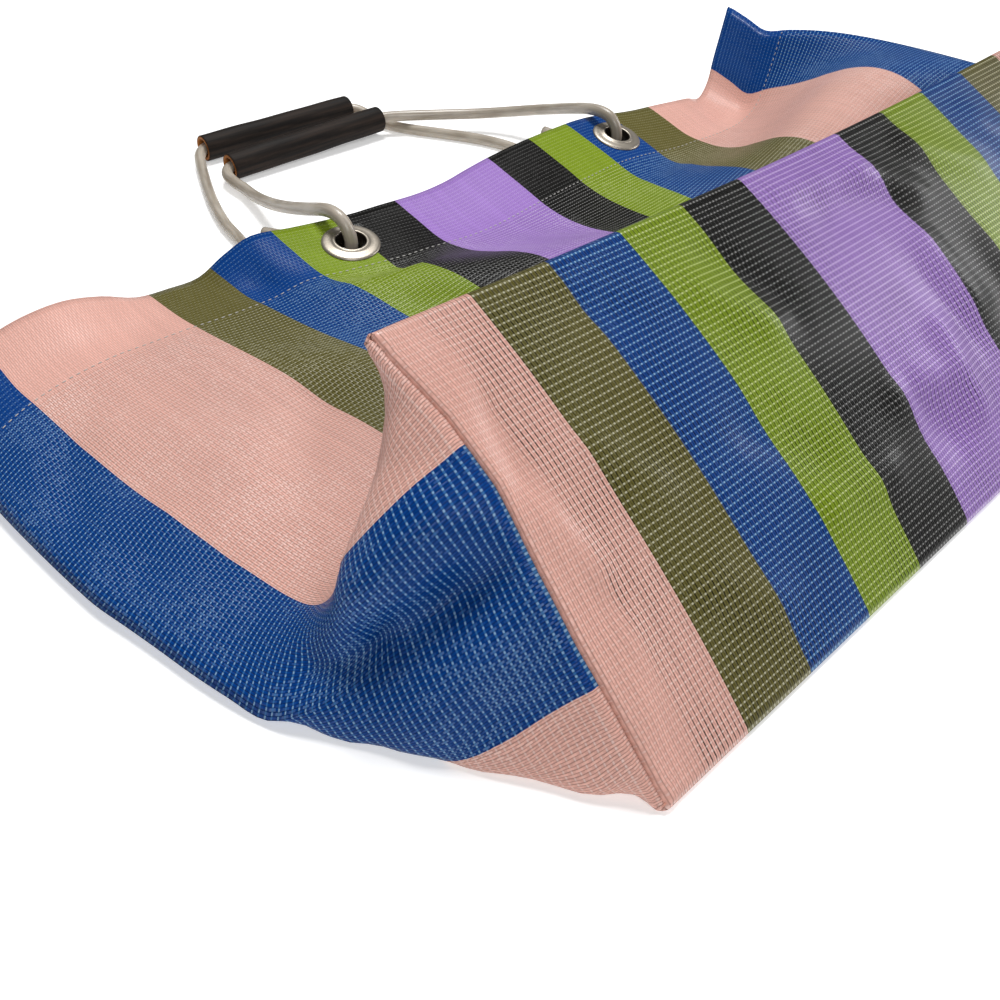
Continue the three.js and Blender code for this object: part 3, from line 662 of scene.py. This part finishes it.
for step in range(SOFTENINGS):
    up_down = (cloth[:, 2:] + cloth[:, :-2]) / 2
    left_right = (np.roll(cloth, 1, 0) + np.roll(cloth, -1, 0))[:, 1:-1] / 2
    middle = (up_down + left_right) / 2
    middle[FAR_FOLD] = up_down[FAR_FOLD]
    cloth[:, 1:-1] += SOFTEN * (middle - cloth[:, 1:-1]) * ~held[:, 1:-1, None]


def sheet_point(around, up):
    """A point of the settled sheet, straight between its threads."""
    place = np.interp(around, around_at, column_count)
    i = int(place)
    j = min(ROWS - 1, int(up / ROW))
    thread = cloth[i] + (cloth[(i + 1) % COLUMNS] - cloth[i]) * (place - i)
    return thread[j] + (thread[j + 1] - thread[j]) * (up / ROW - j)


# Eyelets sit a little below the hem edge, found by their place across the panel that each is in. The hem is
# pressed flat round each, and eases back to its own lie further out.
EYELET_UP = BAG_HEIGHT - 18.5
PRESSED = 24
EASED = 40
HALVINGS = 30
EYELETS = [
    {"name": "eyelet_front_near", "x": 98.8, "panel": [FRONT_NEAR, FRONT_FAR]},
    {"name": "eyelet_front_far", "x": 262, "panel": [FRONT_NEAR, FRONT_FAR]},
    {"name": "eyelet_back_far", "x": 224.4, "panel": [BACK_NEAR, BACK_FAR]},
    {"name": "eyelet_back_near", "x": 70.2, "panel": [BACK_NEAR, BACK_FAR]},
]
eyelets = []
for row in EYELETS:
    low, high = around_at[row["panel"]]
    for halving in range(HALVINGS):
        half = (low + high) / 2
        low, high = (half, high) if sheet_point(half, EYELET_UP)[0] < row["x"] else (low, half)
    place = (low + high) / 2
    centre = sheet_point(place, EYELET_UP)
    along_hem = sheet_point(place + ROW, EYELET_UP) - sheet_point(place - ROW, EYELET_UP)
    to_edge = sheet_point(place, EYELET_UP + ROW) - sheet_point(place, EYELET_UP - ROW)
    out = np.cross(along_hem, to_edge)
    out /= np.linalg.norm(out)
    eyelets.append({"name": row["name"], "around": place, "centre": centre, "out": out})

# The finer sheet that shows, with closer lines beside the corners and edges of the base
FINER = 4
CLOSE = (0.7, 1.6)
ups = np.array([0, *CLOSE, *(np.arange(1, FINER * ROWS + 1) * ROW / FINER)])
close_lines = [corner + side * gap for corner in CORNERS[1:5] for gap in CLOSE for side in (-1, 1)]
lines = np.interp(np.arange(FINER * COLUMNS) / FINER, column_count, around_at)
lines = np.array(sorted([*lines, *close_lines]))
ring = np.concatenate([cloth, cloth[:1]])
strips = []
for first, last in ((0, FAR_FOLD), (FAR_FOLD, COLUMNS)):
    strip = smooth_through(ring[first:last + 1].transpose(1, 0, 2), ups / ROW).transpose(1, 0, 2)
    own = lines[(lines >= around_at[first]) & (lines < around_at[last])]
    places = np.interp(own, around_at, column_count) - first
    strips.append(smooth_through(strip, places))
fine = np.concatenate(strips)
miss = seam_point(lines) - fine[:, 0]
fine += miss[:, None] * np.maximum(0, 1 - ups / ROW)[None, :, None]
for eyelet in eyelets:
    away = np.hypot(lines[:, None] - eyelet["around"], ups - EYELET_UP)
    press = np.clip((EASED - away) / (EASED - PRESSED), 0, 1)
    lift = (fine - eyelet["centre"]) @ eyelet["out"]
    fine -= (press * lift)[..., None] * eyelet["out"]


def facing_of(sheet):
    """Which way the sheet faces at each of its points, out of the bag."""
    across = np.roll(sheet, -1, 0) - np.roll(sheet, 1, 0)
    out = np.cross(across, np.gradient(sheet, axis=1))
    return out / np.linalg.norm(out, axis=2)[..., None]


def crease_lift(creases, first, second):
    """How far soft ridges and troughs, each along a straight line on the flat net, lift its points."""
    place = np.stack(np.broadcast_arrays(first, second), -1)
    lift = np.zeros(place.shape[:-1])
    for *ends, half_width, high in creases:
        start = np.array(ends[:2], float)
        along = ends[2:] - start
        share = np.clip((place - start) @ along / (along @ along), 0, 1)
        off = np.linalg.norm(place - start - share[..., None] * along, axis=-1)
        lift += high * np.exp(-(off / half_width) ** 2)
    return lift


# Creases of the near side and front panel: from one place round and up to another, half width, and height.
# They fade out beside a seam.
CREASE_FADES = 8
WALL_CREASES = [
    (4, 4, 4, 20, 6, -3), (5, 20, 7, 44, 9, -7), (7, 44, 11, 66, 7, -4),
    (22, 14, 22, 40, 11, 4), (-13, 22, -16, 40, 10, 2),
    (19, 25, 13, 12, 3.5, -1.2), (30, 6, 46, 22, 5, -1), (44, 10, 34, 40, 5, 1.2),
    (26, 196, 16, 176, 7, -1), (18, 160, 30, 146, 7, 1), (16, 138, 28, 118, 7, -1),
    (44, 190, 66, 158, 12, 1.8), (60, 120, 92, 150, 10, -1.8), (110, 170, 128, 120, 12, 1.6),
    (160, 180, 190, 120, 13, -1.6), (240, 190, 262, 120, 14, 1.8), (320, 170, 340, 110, 12, -1.6),
]
from_near_seam = np.where(lines > 0.75 * GIRTH, lines - GIRTH, lines)
lift = crease_lift(WALL_CREASES, from_near_seam[:, None], ups)
fine += (lift * np.clip(ups / CREASE_FADES, 0, 1))[..., None] * facing_of(fine)
fine[..., 2] = np.maximum(fine[..., 2], FLOOR)

# The near seam of the base sways inward above its middle: how far up it, and how far in
SEAM_SWAY = [(0, 0), (44, 0), (62, 1.6), (84, 4.6), (104, 4.0), (122, 1.0), (130, 0)]
SWAY_REACH = 40
SWAY_UP, SWAY_IN = zip(*SEAM_SWAY)
sway = np.interp(HALF_SIDE + from_near_seam, SWAY_UP, SWAY_IN, left=0, right=0)
fine[..., 0] += sway[:, None] * np.clip(1 - ups / SWAY_REACH, 0, 1) ** 2

# The turned hem runs back down inside, a little way in from the sheet
HEM_GAP = 0.3
facing = facing_of(fine)
turned = [k for k in range(len(ups) - 1, 0, -1) if ups[k] > HEM_FOOT]
inside = fine[:, turned] - HEM_GAP * facing[:, turned]
sheet = np.concatenate([fine, inside], 1)
heights = np.concatenate([ups, 2 * BAG_HEIGHT - ups[turned]])
deep = len(heights)
wide = len(lines)

# Dents and ridges of the base, from one place along and up it to another, half width, and height
BASE_DENTS = [
    (6, 20, 12, 38, 5, 1.6), (14, 56, 8, 72, 5, 1.9), (9, 84, 14, 100, 5, -1.6), (8, 108, 12, 118, 5, 1.4),
    (34, 80, 44, 62, 6, 1.2), (52, 116, 66, 110, 6, -1.1), (44, 36, 60, 20, 7, 1.2),
    (84, 62, 100, 48, 9, -1.2), (96, 31, 123, 28, 6, 1.6), (98, 104, 113, 86, 6, 1.8),
    (110, 112, 124, 92, 6, -1.3), (152, 34, 158, 26, 9, -3.2), (143, 45, 148, 35, 5, 1.6),
    (157, 45, 172, 42, 5, 1.8), (179, 54, 177, 28, 5, 2.0), (188, 70, 192, 46, 6, -1.4),
    (199, 80, 203, 58, 8, 1.8), (154, 121, 194, 115, 5, 1.6), (194, 115, 213, 99, 6, 1.8),
    (166, 106, 196, 100, 8, -1.6), (227, 113, 250, 97, 7, 1.8), (232, 66, 250, 34, 11, 1.6),
    (272, 108, 286, 80, 10, 1.6), (300, 60, 318, 28, 10, -1.6),
]

# The base shares its edge points with the walls
base_x = lines[(lines >= CORNERS[1]) & (lines <= CORNERS[2])] - CORNERS[1]
base_up = CORNERS[3] - lines[(lines >= CORNERS[2]) & (lines <= CORNERS[3])][::-1]
base_edge = np.minimum(base_x, BASE_WIDTH - base_x)[:, None], np.minimum(base_up, BASE_DEPTH - base_up)
lift = crease_lift(BASE_DENTS, base_x[:, None], base_up)
lift *= np.clip(np.minimum(*base_edge) / CREASE_FADES, 0, 1)
points = [*sheet.reshape(-1, 3)]
base_index = np.zeros((len(base_x), len(base_up)), int)
for a, x in enumerate(base_x):
    for b, up in enumerate(base_up):
        if b == len(base_up) - 1:
            edge = CORNERS[1] + x
        elif b == 0:
            edge = CORNERS[4] - x
        elif a == 0:
            edge = up - HALF_SIDE
        elif a == len(base_x) - 1:
            edge = CORNERS[3] - up
        else:
            base_index[a, b] = len(points)
            inward = np.interp(up, SWAY_UP, SWAY_IN) * max(0, 1 - x / SWAY_REACH) ** 2
            points.append(base_point(x + inward, up) + lift[a, b] * base_out)
            continue
        off_line = np.abs((lines - edge + HALF_GIRTH) % GIRTH - HALF_GIRTH)
        base_index[a, b] = np.argmin(off_line) * deep

# Faces, with each corner's lie on the flat strip: across it from the side seam, and along it from the
# fold between base and front
faces = []
spots = []
round_lines = [*lines, GIRTH]
for c in range(wide):
    for r in range(deep - 1):
        own = [(c, r), (c + 1, r), (c + 1, r + 1), (c, r + 1)]
        faces.append([line % wide * deep + row for line, row in own])
        if lines[c] < HALF_GIRTH:
            spots += [(round_lines[line], heights[row]) for line, row in own]
        else:
            spots += [(GIRTH - round_lines[line], -BASE_DEPTH - heights[row]) for line, row in own]
for a in range(len(base_x) - 1):
    for b in range(len(base_up) - 1):
        own = [(a, b), (a + 1, b), (a + 1, b + 1), (a, b + 1)]
        faces.append([base_index[corner] for corner in own])
        spots += [(HALF_SIDE + base_x[m], base_up[n] - BASE_DEPTH) for m, n in own]
points = np.array(points)
faces = np.array(faces)
spots = np.array(spots).reshape(-1, 4, 2) * MM

# Round holes for the eyelets, through both layers of the hem
HOLE = 7.4
HOLE_DEEP = 5
for eyelet in eyelets:
    away = points - eyelet["centre"]
    height = away @ eyelet["out"]
    away -= height[:, None] * eyelet["out"]
    radius = np.linalg.norm(away, axis=1)
    near = (np.abs(height) < HOLE_DEEP) & (radius < HOLE)
    cut = near[faces].any(1)
    rim = np.setdiff1d(np.intersect1d(faces[cut], faces[~cut]), np.flatnonzero(near))
    points[rim] += away[rim] * (HOLE / radius[rim] - 1)[:, None]
    faces = faces[~cut]
    spots = spots[~cut]
used, faces = np.unique(faces, return_inverse=True)
faces = faces.reshape(-1, 4)

# What the points have beside their place: cloth doubled behind them, how much shade of the dark inside
# shows through the net, which is painted into its gaps as painted shade, the soft folds along the two long
# edges of the base, and the seams across its short ends. A seam is sunk between two small rolls, given by
# the distance from it and the lift there.
SEAM_ROLL = [(0.0, -1.5), (0.7, -0.4), (1.6, 0.6), (3.5, 0.45), (7.0, 0.0)]
ROLL_AT, ROLL_LIFT = zip(*SEAM_ROLL)
SOFT_FOLD = 3.4
# Share of the shade inside that shows through the net on the walls, painted into its gaps; the base shows
# all of it.
WALLS_SHADE_BEHIND = 0.25
ENDS_DOUBLED = 0.75
is_side = (lines <= CORNERS[1]) | (lines >= CORNERS[4]) | ((lines >= CORNERS[2]) & (lines <= CORNERS[3]))
doubled = np.zeros((wide, deep))
doubled[:, heights > HEM_FOOT] = 1
lift = np.zeros((wide, deep))
lift[is_side] = np.interp(heights, ROLL_AT, ROLL_LIFT, right=0)
soft = np.zeros((wide, deep), bool)
soft[np.ix_(~is_side, heights < SOFT_FOLD)] = True
inner_x, inner_up = np.meshgrid(base_x[1:-1], base_up[1:-1], indexing="ij")
from_end = np.minimum(inner_x, BASE_WIDTH - inner_x).ravel()
from_fold = np.minimum(inner_up, BASE_DEPTH - inner_up).ravel()
# Shade behind the net, painted into its gaps: the walls' share on the walls, and all of it on the base.
thin = np.concatenate([np.full(wide * deep, WALLS_SHADE_BEHIND), np.ones(len(from_end))])[used]
doubled = np.concatenate([doubled.ravel(), ENDS_DOUBLED * (from_end < ALLOWANCE)])[used]
lift = np.concatenate([lift.ravel(), np.interp(from_end, ROLL_AT, ROLL_LIFT, right=0)])[used]
soft = np.concatenate([soft.ravel(), from_fold < SOFT_FOLD])[used]

# Colours of the net, and its stripes from the side seam to the middle: blue, pink, and five even bands
PINK = light(232, 178, 164)
BLUE = light(0, 60, 134)
OLIVE = light(98, 92, 44)
BLACK = light(9, 8, 6)
LIME = light(126, 150, 28)
LILAC = light(164, 126, 204)
BANDS = (OLIVE, BLUE, LIME, BLACK, LILAC)
PINK_START = 31
BAND_START = 96
BAND = (HALF_GIRTH / 2 - BAND_START) / len(BANDS)
stops = [(0, BLUE), (PINK_START, PINK)]
stops += [(BAND_START + n * BAND, colour) for n, colour in enumerate(BANDS)]
YARN = 0.78  # from one yarn or tie to the next
TIE = 2.0
YARN_STREAKS = (900, 60, 1)  # waves in a metre across the yarns and along them

net, tree, surface = finish("striped_net", {"IOR": 1.5, "Specular IOR Level": 0.13, "Coat Roughness": 0.15})
lie = tree.lie()
place, run = (tree.node("ShaderNodeSeparateXYZ", {}, {0: lie}, part) for part in range(2))
half = HALF_GIRTH / 2 * MM
from_side = 1 - (place - half).size() / half
ramp = [(at / (HALF_GIRTH / 2), colour) for at, colour in stops]
stripe = tree.node("ShaderNodeValToRGB", {"ramp": "CONSTANT", "stops": ramp}, {"Fac": from_side})
red = tree.node("ShaderNodeSeparateColor", {}, {"Color": stripe}, 0)
backed = tree.marks("doubled")
# How much shade of the inside shows through the net here, for the painted shade in its gaps.
shade_behind_mask = tree.marks("thin")
sunk = tree.marks("sunk")

# The weave: how far a spot is from the middle of its yarn, pair of yarns and tie, and whether the tie
# passes over the yarn there
yarns = place / (YARN * MM)
ties = run / (TIE * MM)
off_yarn = (yarns.part() - 0.5).size() * 2
off_pair = ((yarns * 0.5).part() - 0.5).size() * 2
off_tie = (ties.part() - 0.5).size() * 2
tie_over = ((yarns.whole() + ties.whole()) * 0.5).part() * 2

# Yarns are narrower and split into pairs where the net is single, with the shade of the inside behind it,
# and not doubled, more in some patches; the gaps there carry painted shade seen through the net
opened_and_shaded = (0.55 + tree.noise(lie, scale=30.0, detail=3.0).ease(0.45, 0.65) * 0.45) * (1 - backed) * shade_behind_mask
yarn = off_yarn.ease(0.9 - opened_and_shaded * 0.1, 0.74 - opened_and_shaded * 0.1)
# Painted shade: the splits are painted nearly black, as the dark inside seen through them.
split = off_pair.ease(0.64, 0.84) * opened_and_shaded
tie = off_tie.ease(0.36, 0.14)
knot = tie * tie_over * off_yarn.ease(1.0, 0.5)
over = yarn * (1 - tie_over) * off_tie.ease(1.0, 0.85)
shows = (1 - backed * 0.7) * (1 - red * 0.7)

# Each yarn has its own tone, and some of its strokes between two ties are brighter: painted glints,
# scattered by noise over the cells where the yarn floats.
tone = tree.node("ShaderNodeTexWhiteNoise", {"noise_dimensions": "1D"}, {"W": yarns.whole()})
streaks = tree.noise(lie.times(YARN_STREAKS))
cell = tree.node("ShaderNodeCombineXYZ", {}, {0: yarns.whole() * YARN * MM, 1: ties.whole() * TIE * MM})
glint_speckle = tree.node("ShaderNodeTexWhiteNoise", {"noise_dimensions": "2D"}, {"Vector": cell})
painted_glint_cells = (tree.noise(cell, scale=26.0) + glint_speckle * 0.3).ease(0.6, 0.9)
painted_glints = painted_glint_cells * over * (1 - backed * 0.8) * (1 - shade_behind_mask * 0.75)


def scaled(colour, amount, more=0.0):
    """A colour times an amount, with some white added."""
    parts = {0: colour, 1: colour.node("ShaderNodeCombineXYZ", {}, dict.fromkeys(range(3), amount))}
    return colour.node("ShaderNodeVectorMath", {"operation": "MULTIPLY_ADD"}, {**parts, 2: (more,) * 3})


def paler(colour, power):
    """A colour raised to a power below 1, which makes it paler."""
    return colour.node("ShaderNodeGamma", {}, {"Color": colour, "Gamma": power})


# Colour in layers: yarns and the gaps between them, splits, bright strokes, ties, knots, and sunk seams.
# The gaps and splits carry painted shade seen through the net, the bright strokes are painted glints, the
# knots are partly painted highlights, and the sunk seams carry painted shade.
# Painted highlight: the yarn is a little lighter where it floats over a tie.
flat_yarn = scaled(stripe, 0.8 - shade_behind_mask * 0.12 + tone * 0.1 + streaks * 0.1 + over * 0.1)
# Painted shade: gaps between yarns are darker, as the shade behind the net seen through them.
woven = yarn.mix(scaled(stripe, 0.62), flat_yarn)
net_with_shaded_splits = split.mix(woven, scaled(stripe, 0.06))
pale = paler(stripe, power=0.62)
# Painted glints: bright pale strokes mixed in where the glint mask is.
net_with_painted_glints = (painted_glints * 0.55).mix(net_with_shaded_splits, scaled(pale, 0.85, more=0.17))
tied = (tie * (0.8 - shade_behind_mask * 0.3) * shows).mix(net_with_painted_glints, scaled(pale, 0.85, more=0.04))
# Knots, where the tie crosses over a yarn, are the thread's own crossing, made paler as a painted highlight.
knotted = (knot * 0.9 * shows).mix(tied, scaled(paler(stripe, power=0.5), 0.75, more=0.24))
# Painted shade: sunk seams are darkened and warmed by how deep they sink.
seam_shade = tree.node("ShaderNodeCombineXYZ", {}, {0: 1 - sunk * 0.3, 1: 1 - sunk * 0.55, 2: 1 - sunk * 0.65})
crimp = (1 - off_tie) * (0.5 - tie_over)
round_yarn = yarn * (0.6 - off_yarn * off_yarn * 0.2 + crimp * 1.2)
height = round_yarn.greatest(tie * tie_over * 0.9) * (1 - backed * 0.7)
feed(surface, {
    "Base Color": knotted.times(seam_shade),
    "Roughness": 0.26 + (1 - yarn) * 0.5 + streaks * 0.12,
    "Coat Weight": over * shade_behind_mask * 0.3,
    "Normal": height.bump(strength=1.0, depth=0.3 * MM),
})

FOLD_PASSES = 3
FOLD_EASE = 0.5
body = new_piece("net_body_cloth", points[used], faces.tolist(), net, spots.reshape(-1, 2))
mark(body, "doubled", doubled)
mark(body, "thin", thin)
# How deep a seam sinks, for the painted shade in it.
mark(body, "sunk", np.clip(-lift, 0, 1))
shaped = bmesh.new()
shaped.from_mesh(body.data)
shaped.verts.ensure_lookup_table()
folds = [shaped.verts[n] for n in np.flatnonzero(soft)]
axes = {f"use_axis_{axis}": True for axis in "xyz"}
for pass_over in range(FOLD_PASSES):
    bmesh.ops.smooth_vert(shaped, verts=folds, factor=FOLD_EASE, **axes)
shaped.normal_update()
for n in np.flatnonzero(lift):
    shaped.verts[n].co += shaped.verts[n].normal * float(lift[n]) * MM
shaped.to_mesh(body.data)
shaped.free()
wall = body.modifiers.new("thickness", "SOLIDIFY")
wall.thickness = SHEET * MM
wall.offset = 1.0


def settled(piece):
    """Turns a piece with its modifiers into a plain mesh."""
    bpy.context.view_layer.update()
    seen = piece.evaluated_get(bpy.context.evaluated_depsgraph_get())
    mesh = bpy.data.meshes.new_from_object(seen)
    piece.modifiers.clear()
    piece.data = mesh


settled(body)
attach(body, "root")
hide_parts("net_body")


# Hem stitches. A lockstitch in pale thread runs round the mouth and holds the turned hem down. Each
# stitch is a short round bead of thread drawn a little into the net.
STITCH_PITCH = 2.8
STITCH = 1.7
THREAD = 0.42
STITCH_STANDS = SHEET + 0.1

thread, tree, surface = finish("pale_thread", {"Roughness": 0.55})
THREAD_DULL = light(158, 156, 152)
THREAD_PALE = light(204, 202, 198)
where = tree.node("ShaderNodeTexCoord", {}, {}, 3)
fuzz = tree.noise(where, scale=2500.0)
feed(surface, {"Base Color": fuzz.mix(THREAD_DULL, THREAD_PALE)})


def thread_tree(material):
    """Beads of thread in a row along a line, drawn out along it."""
    made = bpy.data.node_groups.new("row_of_stitches", "GeometryNodeTree")
    face = made.interface
    face.new_socket("Line", in_out="INPUT", socket_type="NodeSocketGeometry")
    for name in ("Pitch", "Length", "Thickness"):
        face.new_socket(name, in_out="INPUT", socket_type="NodeSocketFloat")
    face.new_socket("Stitches", in_out="OUTPUT", socket_type="NodeSocketGeometry")
    add = made.nodes.new
    given = add("NodeGroupInput")
    curve = add("GeometryNodeMeshToCurve")
    even = add("GeometryNodeResampleCurve")
    even.mode = "LENGTH"
    bead = add("GeometryNodeMeshUVSphere")
    for socket, value in (("Segments", 8), ("Rings", 5), ("Radius", 0.5)):
        bead.inputs[socket].default_value = value
    drawn = add("ShaderNodeCombineXYZ")
    shape = add("GeometryNodeTransform")
    ahead = add("GeometryNodeInputTangent")
    turn = add("FunctionNodeAlignRotationToVector")
    turn.axis = "X"
    row = add("GeometryNodeInstanceOnPoints")
    real = add("GeometryNodeRealizeInstances")
    colour = add("GeometryNodeSetMaterial")
    colour.inputs["Material"].default_value = material
    result = add("NodeGroupOutput")
    for source, output, target, socket in (
        (given, "Line", curve, "Mesh"), (curve, "Curve", even, "Curve"), (given, "Pitch", even, "Length"),
        (given, "Length", drawn, "X"), (given, "Thickness", drawn, "Y"), (given, "Thickness", drawn, "Z"),
        (bead, "Mesh", shape, "Geometry"), (drawn, "Vector", shape, "Scale"),
        (even, "Curve", row, "Points"), (shape, "Geometry", row, "Instance"),
        (ahead, "Tangent", turn, "Vector"), (turn, "Rotation", row, "Rotation"),
        (row, "Instances", real, "Geometry"), (real, "Geometry", colour, "Geometry"),
        (colour, "Geometry", result, "Stitches"),
    ):
        made.links.new(source.outputs[output], target.inputs[socket])
    return made


stitch_row = int(np.argmin(np.abs(ups - HEM_FOOT)))
line = fine[:, stitch_row] + STITCH_STANDS * facing[:, stitch_row]
line[:, 2] = np.maximum(line[:, 2], THREAD)
mesh = bpy.data.meshes.new("hem_stitches")
mesh.from_pydata(placed(line).tolist(), [(n, (n + 1) % wide) for n in range(wide)], [])
stitches = set_out("hem_stitches", mesh)
sewing = stitches.modifiers.new("stitches", "NODES")
sewing.node_group = thread_tree(thread)
sockets = {item.name: item.identifier for item in sewing.node_group.interface.items_tree}
for name, value in (("Pitch", STITCH_PITCH), ("Length", STITCH), ("Thickness", THREAD)):
    sewing[sockets[name]] = value * MM
settled(stitches)
stitches.data.shade_smooth()
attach(stitches, "root")


# Eyelets. Each is a nickelled ring and washer of pressed metal, set through both layers of the hem and
# rolled over on the inside. The handle cord passes through it.
EYELET_TURNS = 56
# Painted shade: the bore's wall is painted dark, as the shade inside the hole.
BORE_SHADE_REACH = 6.3  # the bore, up to this far from the axis, is darker than the rest
# Section of an eyelet: distance from its axis, and height over the sheet's inner face
RING = [
    (6.0, 0.0), (6.0, 2.1), (6.2, 2.5), (6.6, 2.8), (7.2, 2.75), (7.7, 2.4), (8.3, 2.15), (9.6, 2.1),
    (10.9, 1.95), (11.6, 1.7), (11.95, 1.35), (12.0, 1.05), (6.9, 1.0), (6.9, -1.35), (11.9, -1.4),
    (11.95, -1.7), (11.5, -2.0), (10.4, -2.2), (8.3, -2.3), (7.4, -2.5), (6.9, -2.9), (6.7, -4.9),
    (6.4, -5.2), (6.1, -5.1), (6.0, -4.8),
]

nickel, tree, surface = finish("nickel", {"Metallic": 0.75})
NICKEL_DULL = light(150, 141, 128)
NICKEL_PALE = light(180, 172, 160)
BORE_PAINTED_SHADE = light(46, 40, 35)
where = tree.node("ShaderNodeTexCoord", {}, {}, 3)
fine_wear = tree.noise(where, scale=900.0, detail=3.0)
plated = tree.noise(where, scale=120.0).mix(NICKEL_DULL, NICKEL_PALE)
feed(surface, {
    # Painted shade in the bore, over the plated colour.
    "Base Color": tree.marks("bore").mix(plated, BORE_PAINTED_SHADE),
    "Roughness": 0.3 + fine_wear * 0.2,
    "Normal": fine_wear.bump(strength=0.08, depth=0.2 * MM),
})

for eyelet in eyelets:
    out = eyelet["out"]
    first = np.cross(out, (1, 0, 0))
    first /= np.linalg.norm(first)
    second = np.cross(out, first)
    points = []
    for k in range(EYELET_TURNS):
        angle = 2 * math.pi * k / EYELET_TURNS
        spoke = math.cos(angle) * first + math.sin(angle) * second
        points += [eyelet["centre"] + radius * spoke + height * out for radius, height in RING]
    faces, corners = ring_faces(EYELET_TURNS, len(RING), EYELET_TURNS)
    ring = new_piece(f"{eyelet['name']}_ring", points, faces, nickel)
    mark(ring, "bore", [float(radius < BORE_SHADE_REACH) for radius, height in RING] * EYELET_TURNS)
    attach(ring, "root")
    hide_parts(eyelet["name"])


# Floor and light. A plain white floor, which glows a little as a light table does, under broad soft
# lamps: one over the bag, one low at its right for the gloss on the base, and one from the left.
FLOOR_HALF = 8
WORLD_LIGHT = 0.1
floor_white = finish("pale_floor", {
    "Base Color": (0.85, 0.85, 0.85, 1),
    "Roughness": 0.8,
    "Emission Color": (1, 1, 1, 1),
    "Emission Strength": 0.35,
})[0]
corners = [(x * FLOOR_HALF, y * FLOOR_HALF, 0) for x, y in ((-1, -1), (1, -1), (1, 1), (-1, 1))]
mesh = bpy.data.meshes.new("floor")
mesh.from_pydata(corners, [], [(0, 1, 2, 3)])
mesh.materials.append(floor_white)
floor = set_out("floor", mesh)

world = bpy.data.worlds.new("studio")
scene.world = world
world.use_nodes = True
sky = world.node_tree.nodes["Background"].inputs
sky["Color"].default_value = (1, 1, 1, 1)
sky["Strength"].default_value = WORLD_LIGHT
LAMPS = [
    {"name": "over", "at": (0.5, 0.5, 2.0), "size": 0.8, "power": 42},
    {"name": "right", "at": (1.3, -0.54, 0.56), "size": 0.5, "power": 6},
    {"name": "left", "at": (-0.7, -1.1, 1.0), "size": 0.7, "power": 9},
]
for row in LAMPS:
    lamp = bpy.data.lights.new(row["name"], "AREA")
    lamp.shape = "SQUARE"
    lamp.size = row["size"]
    lamp.energy = row["power"]
    shining = set_out(row["name"], lamp)
    shining.location = row["at"]
    shining.rotation_euler = (-Vector(row["at"])).to_track_quat("-Z", "Y").to_euler()
scene.view_settings.view_transform = "Standard"
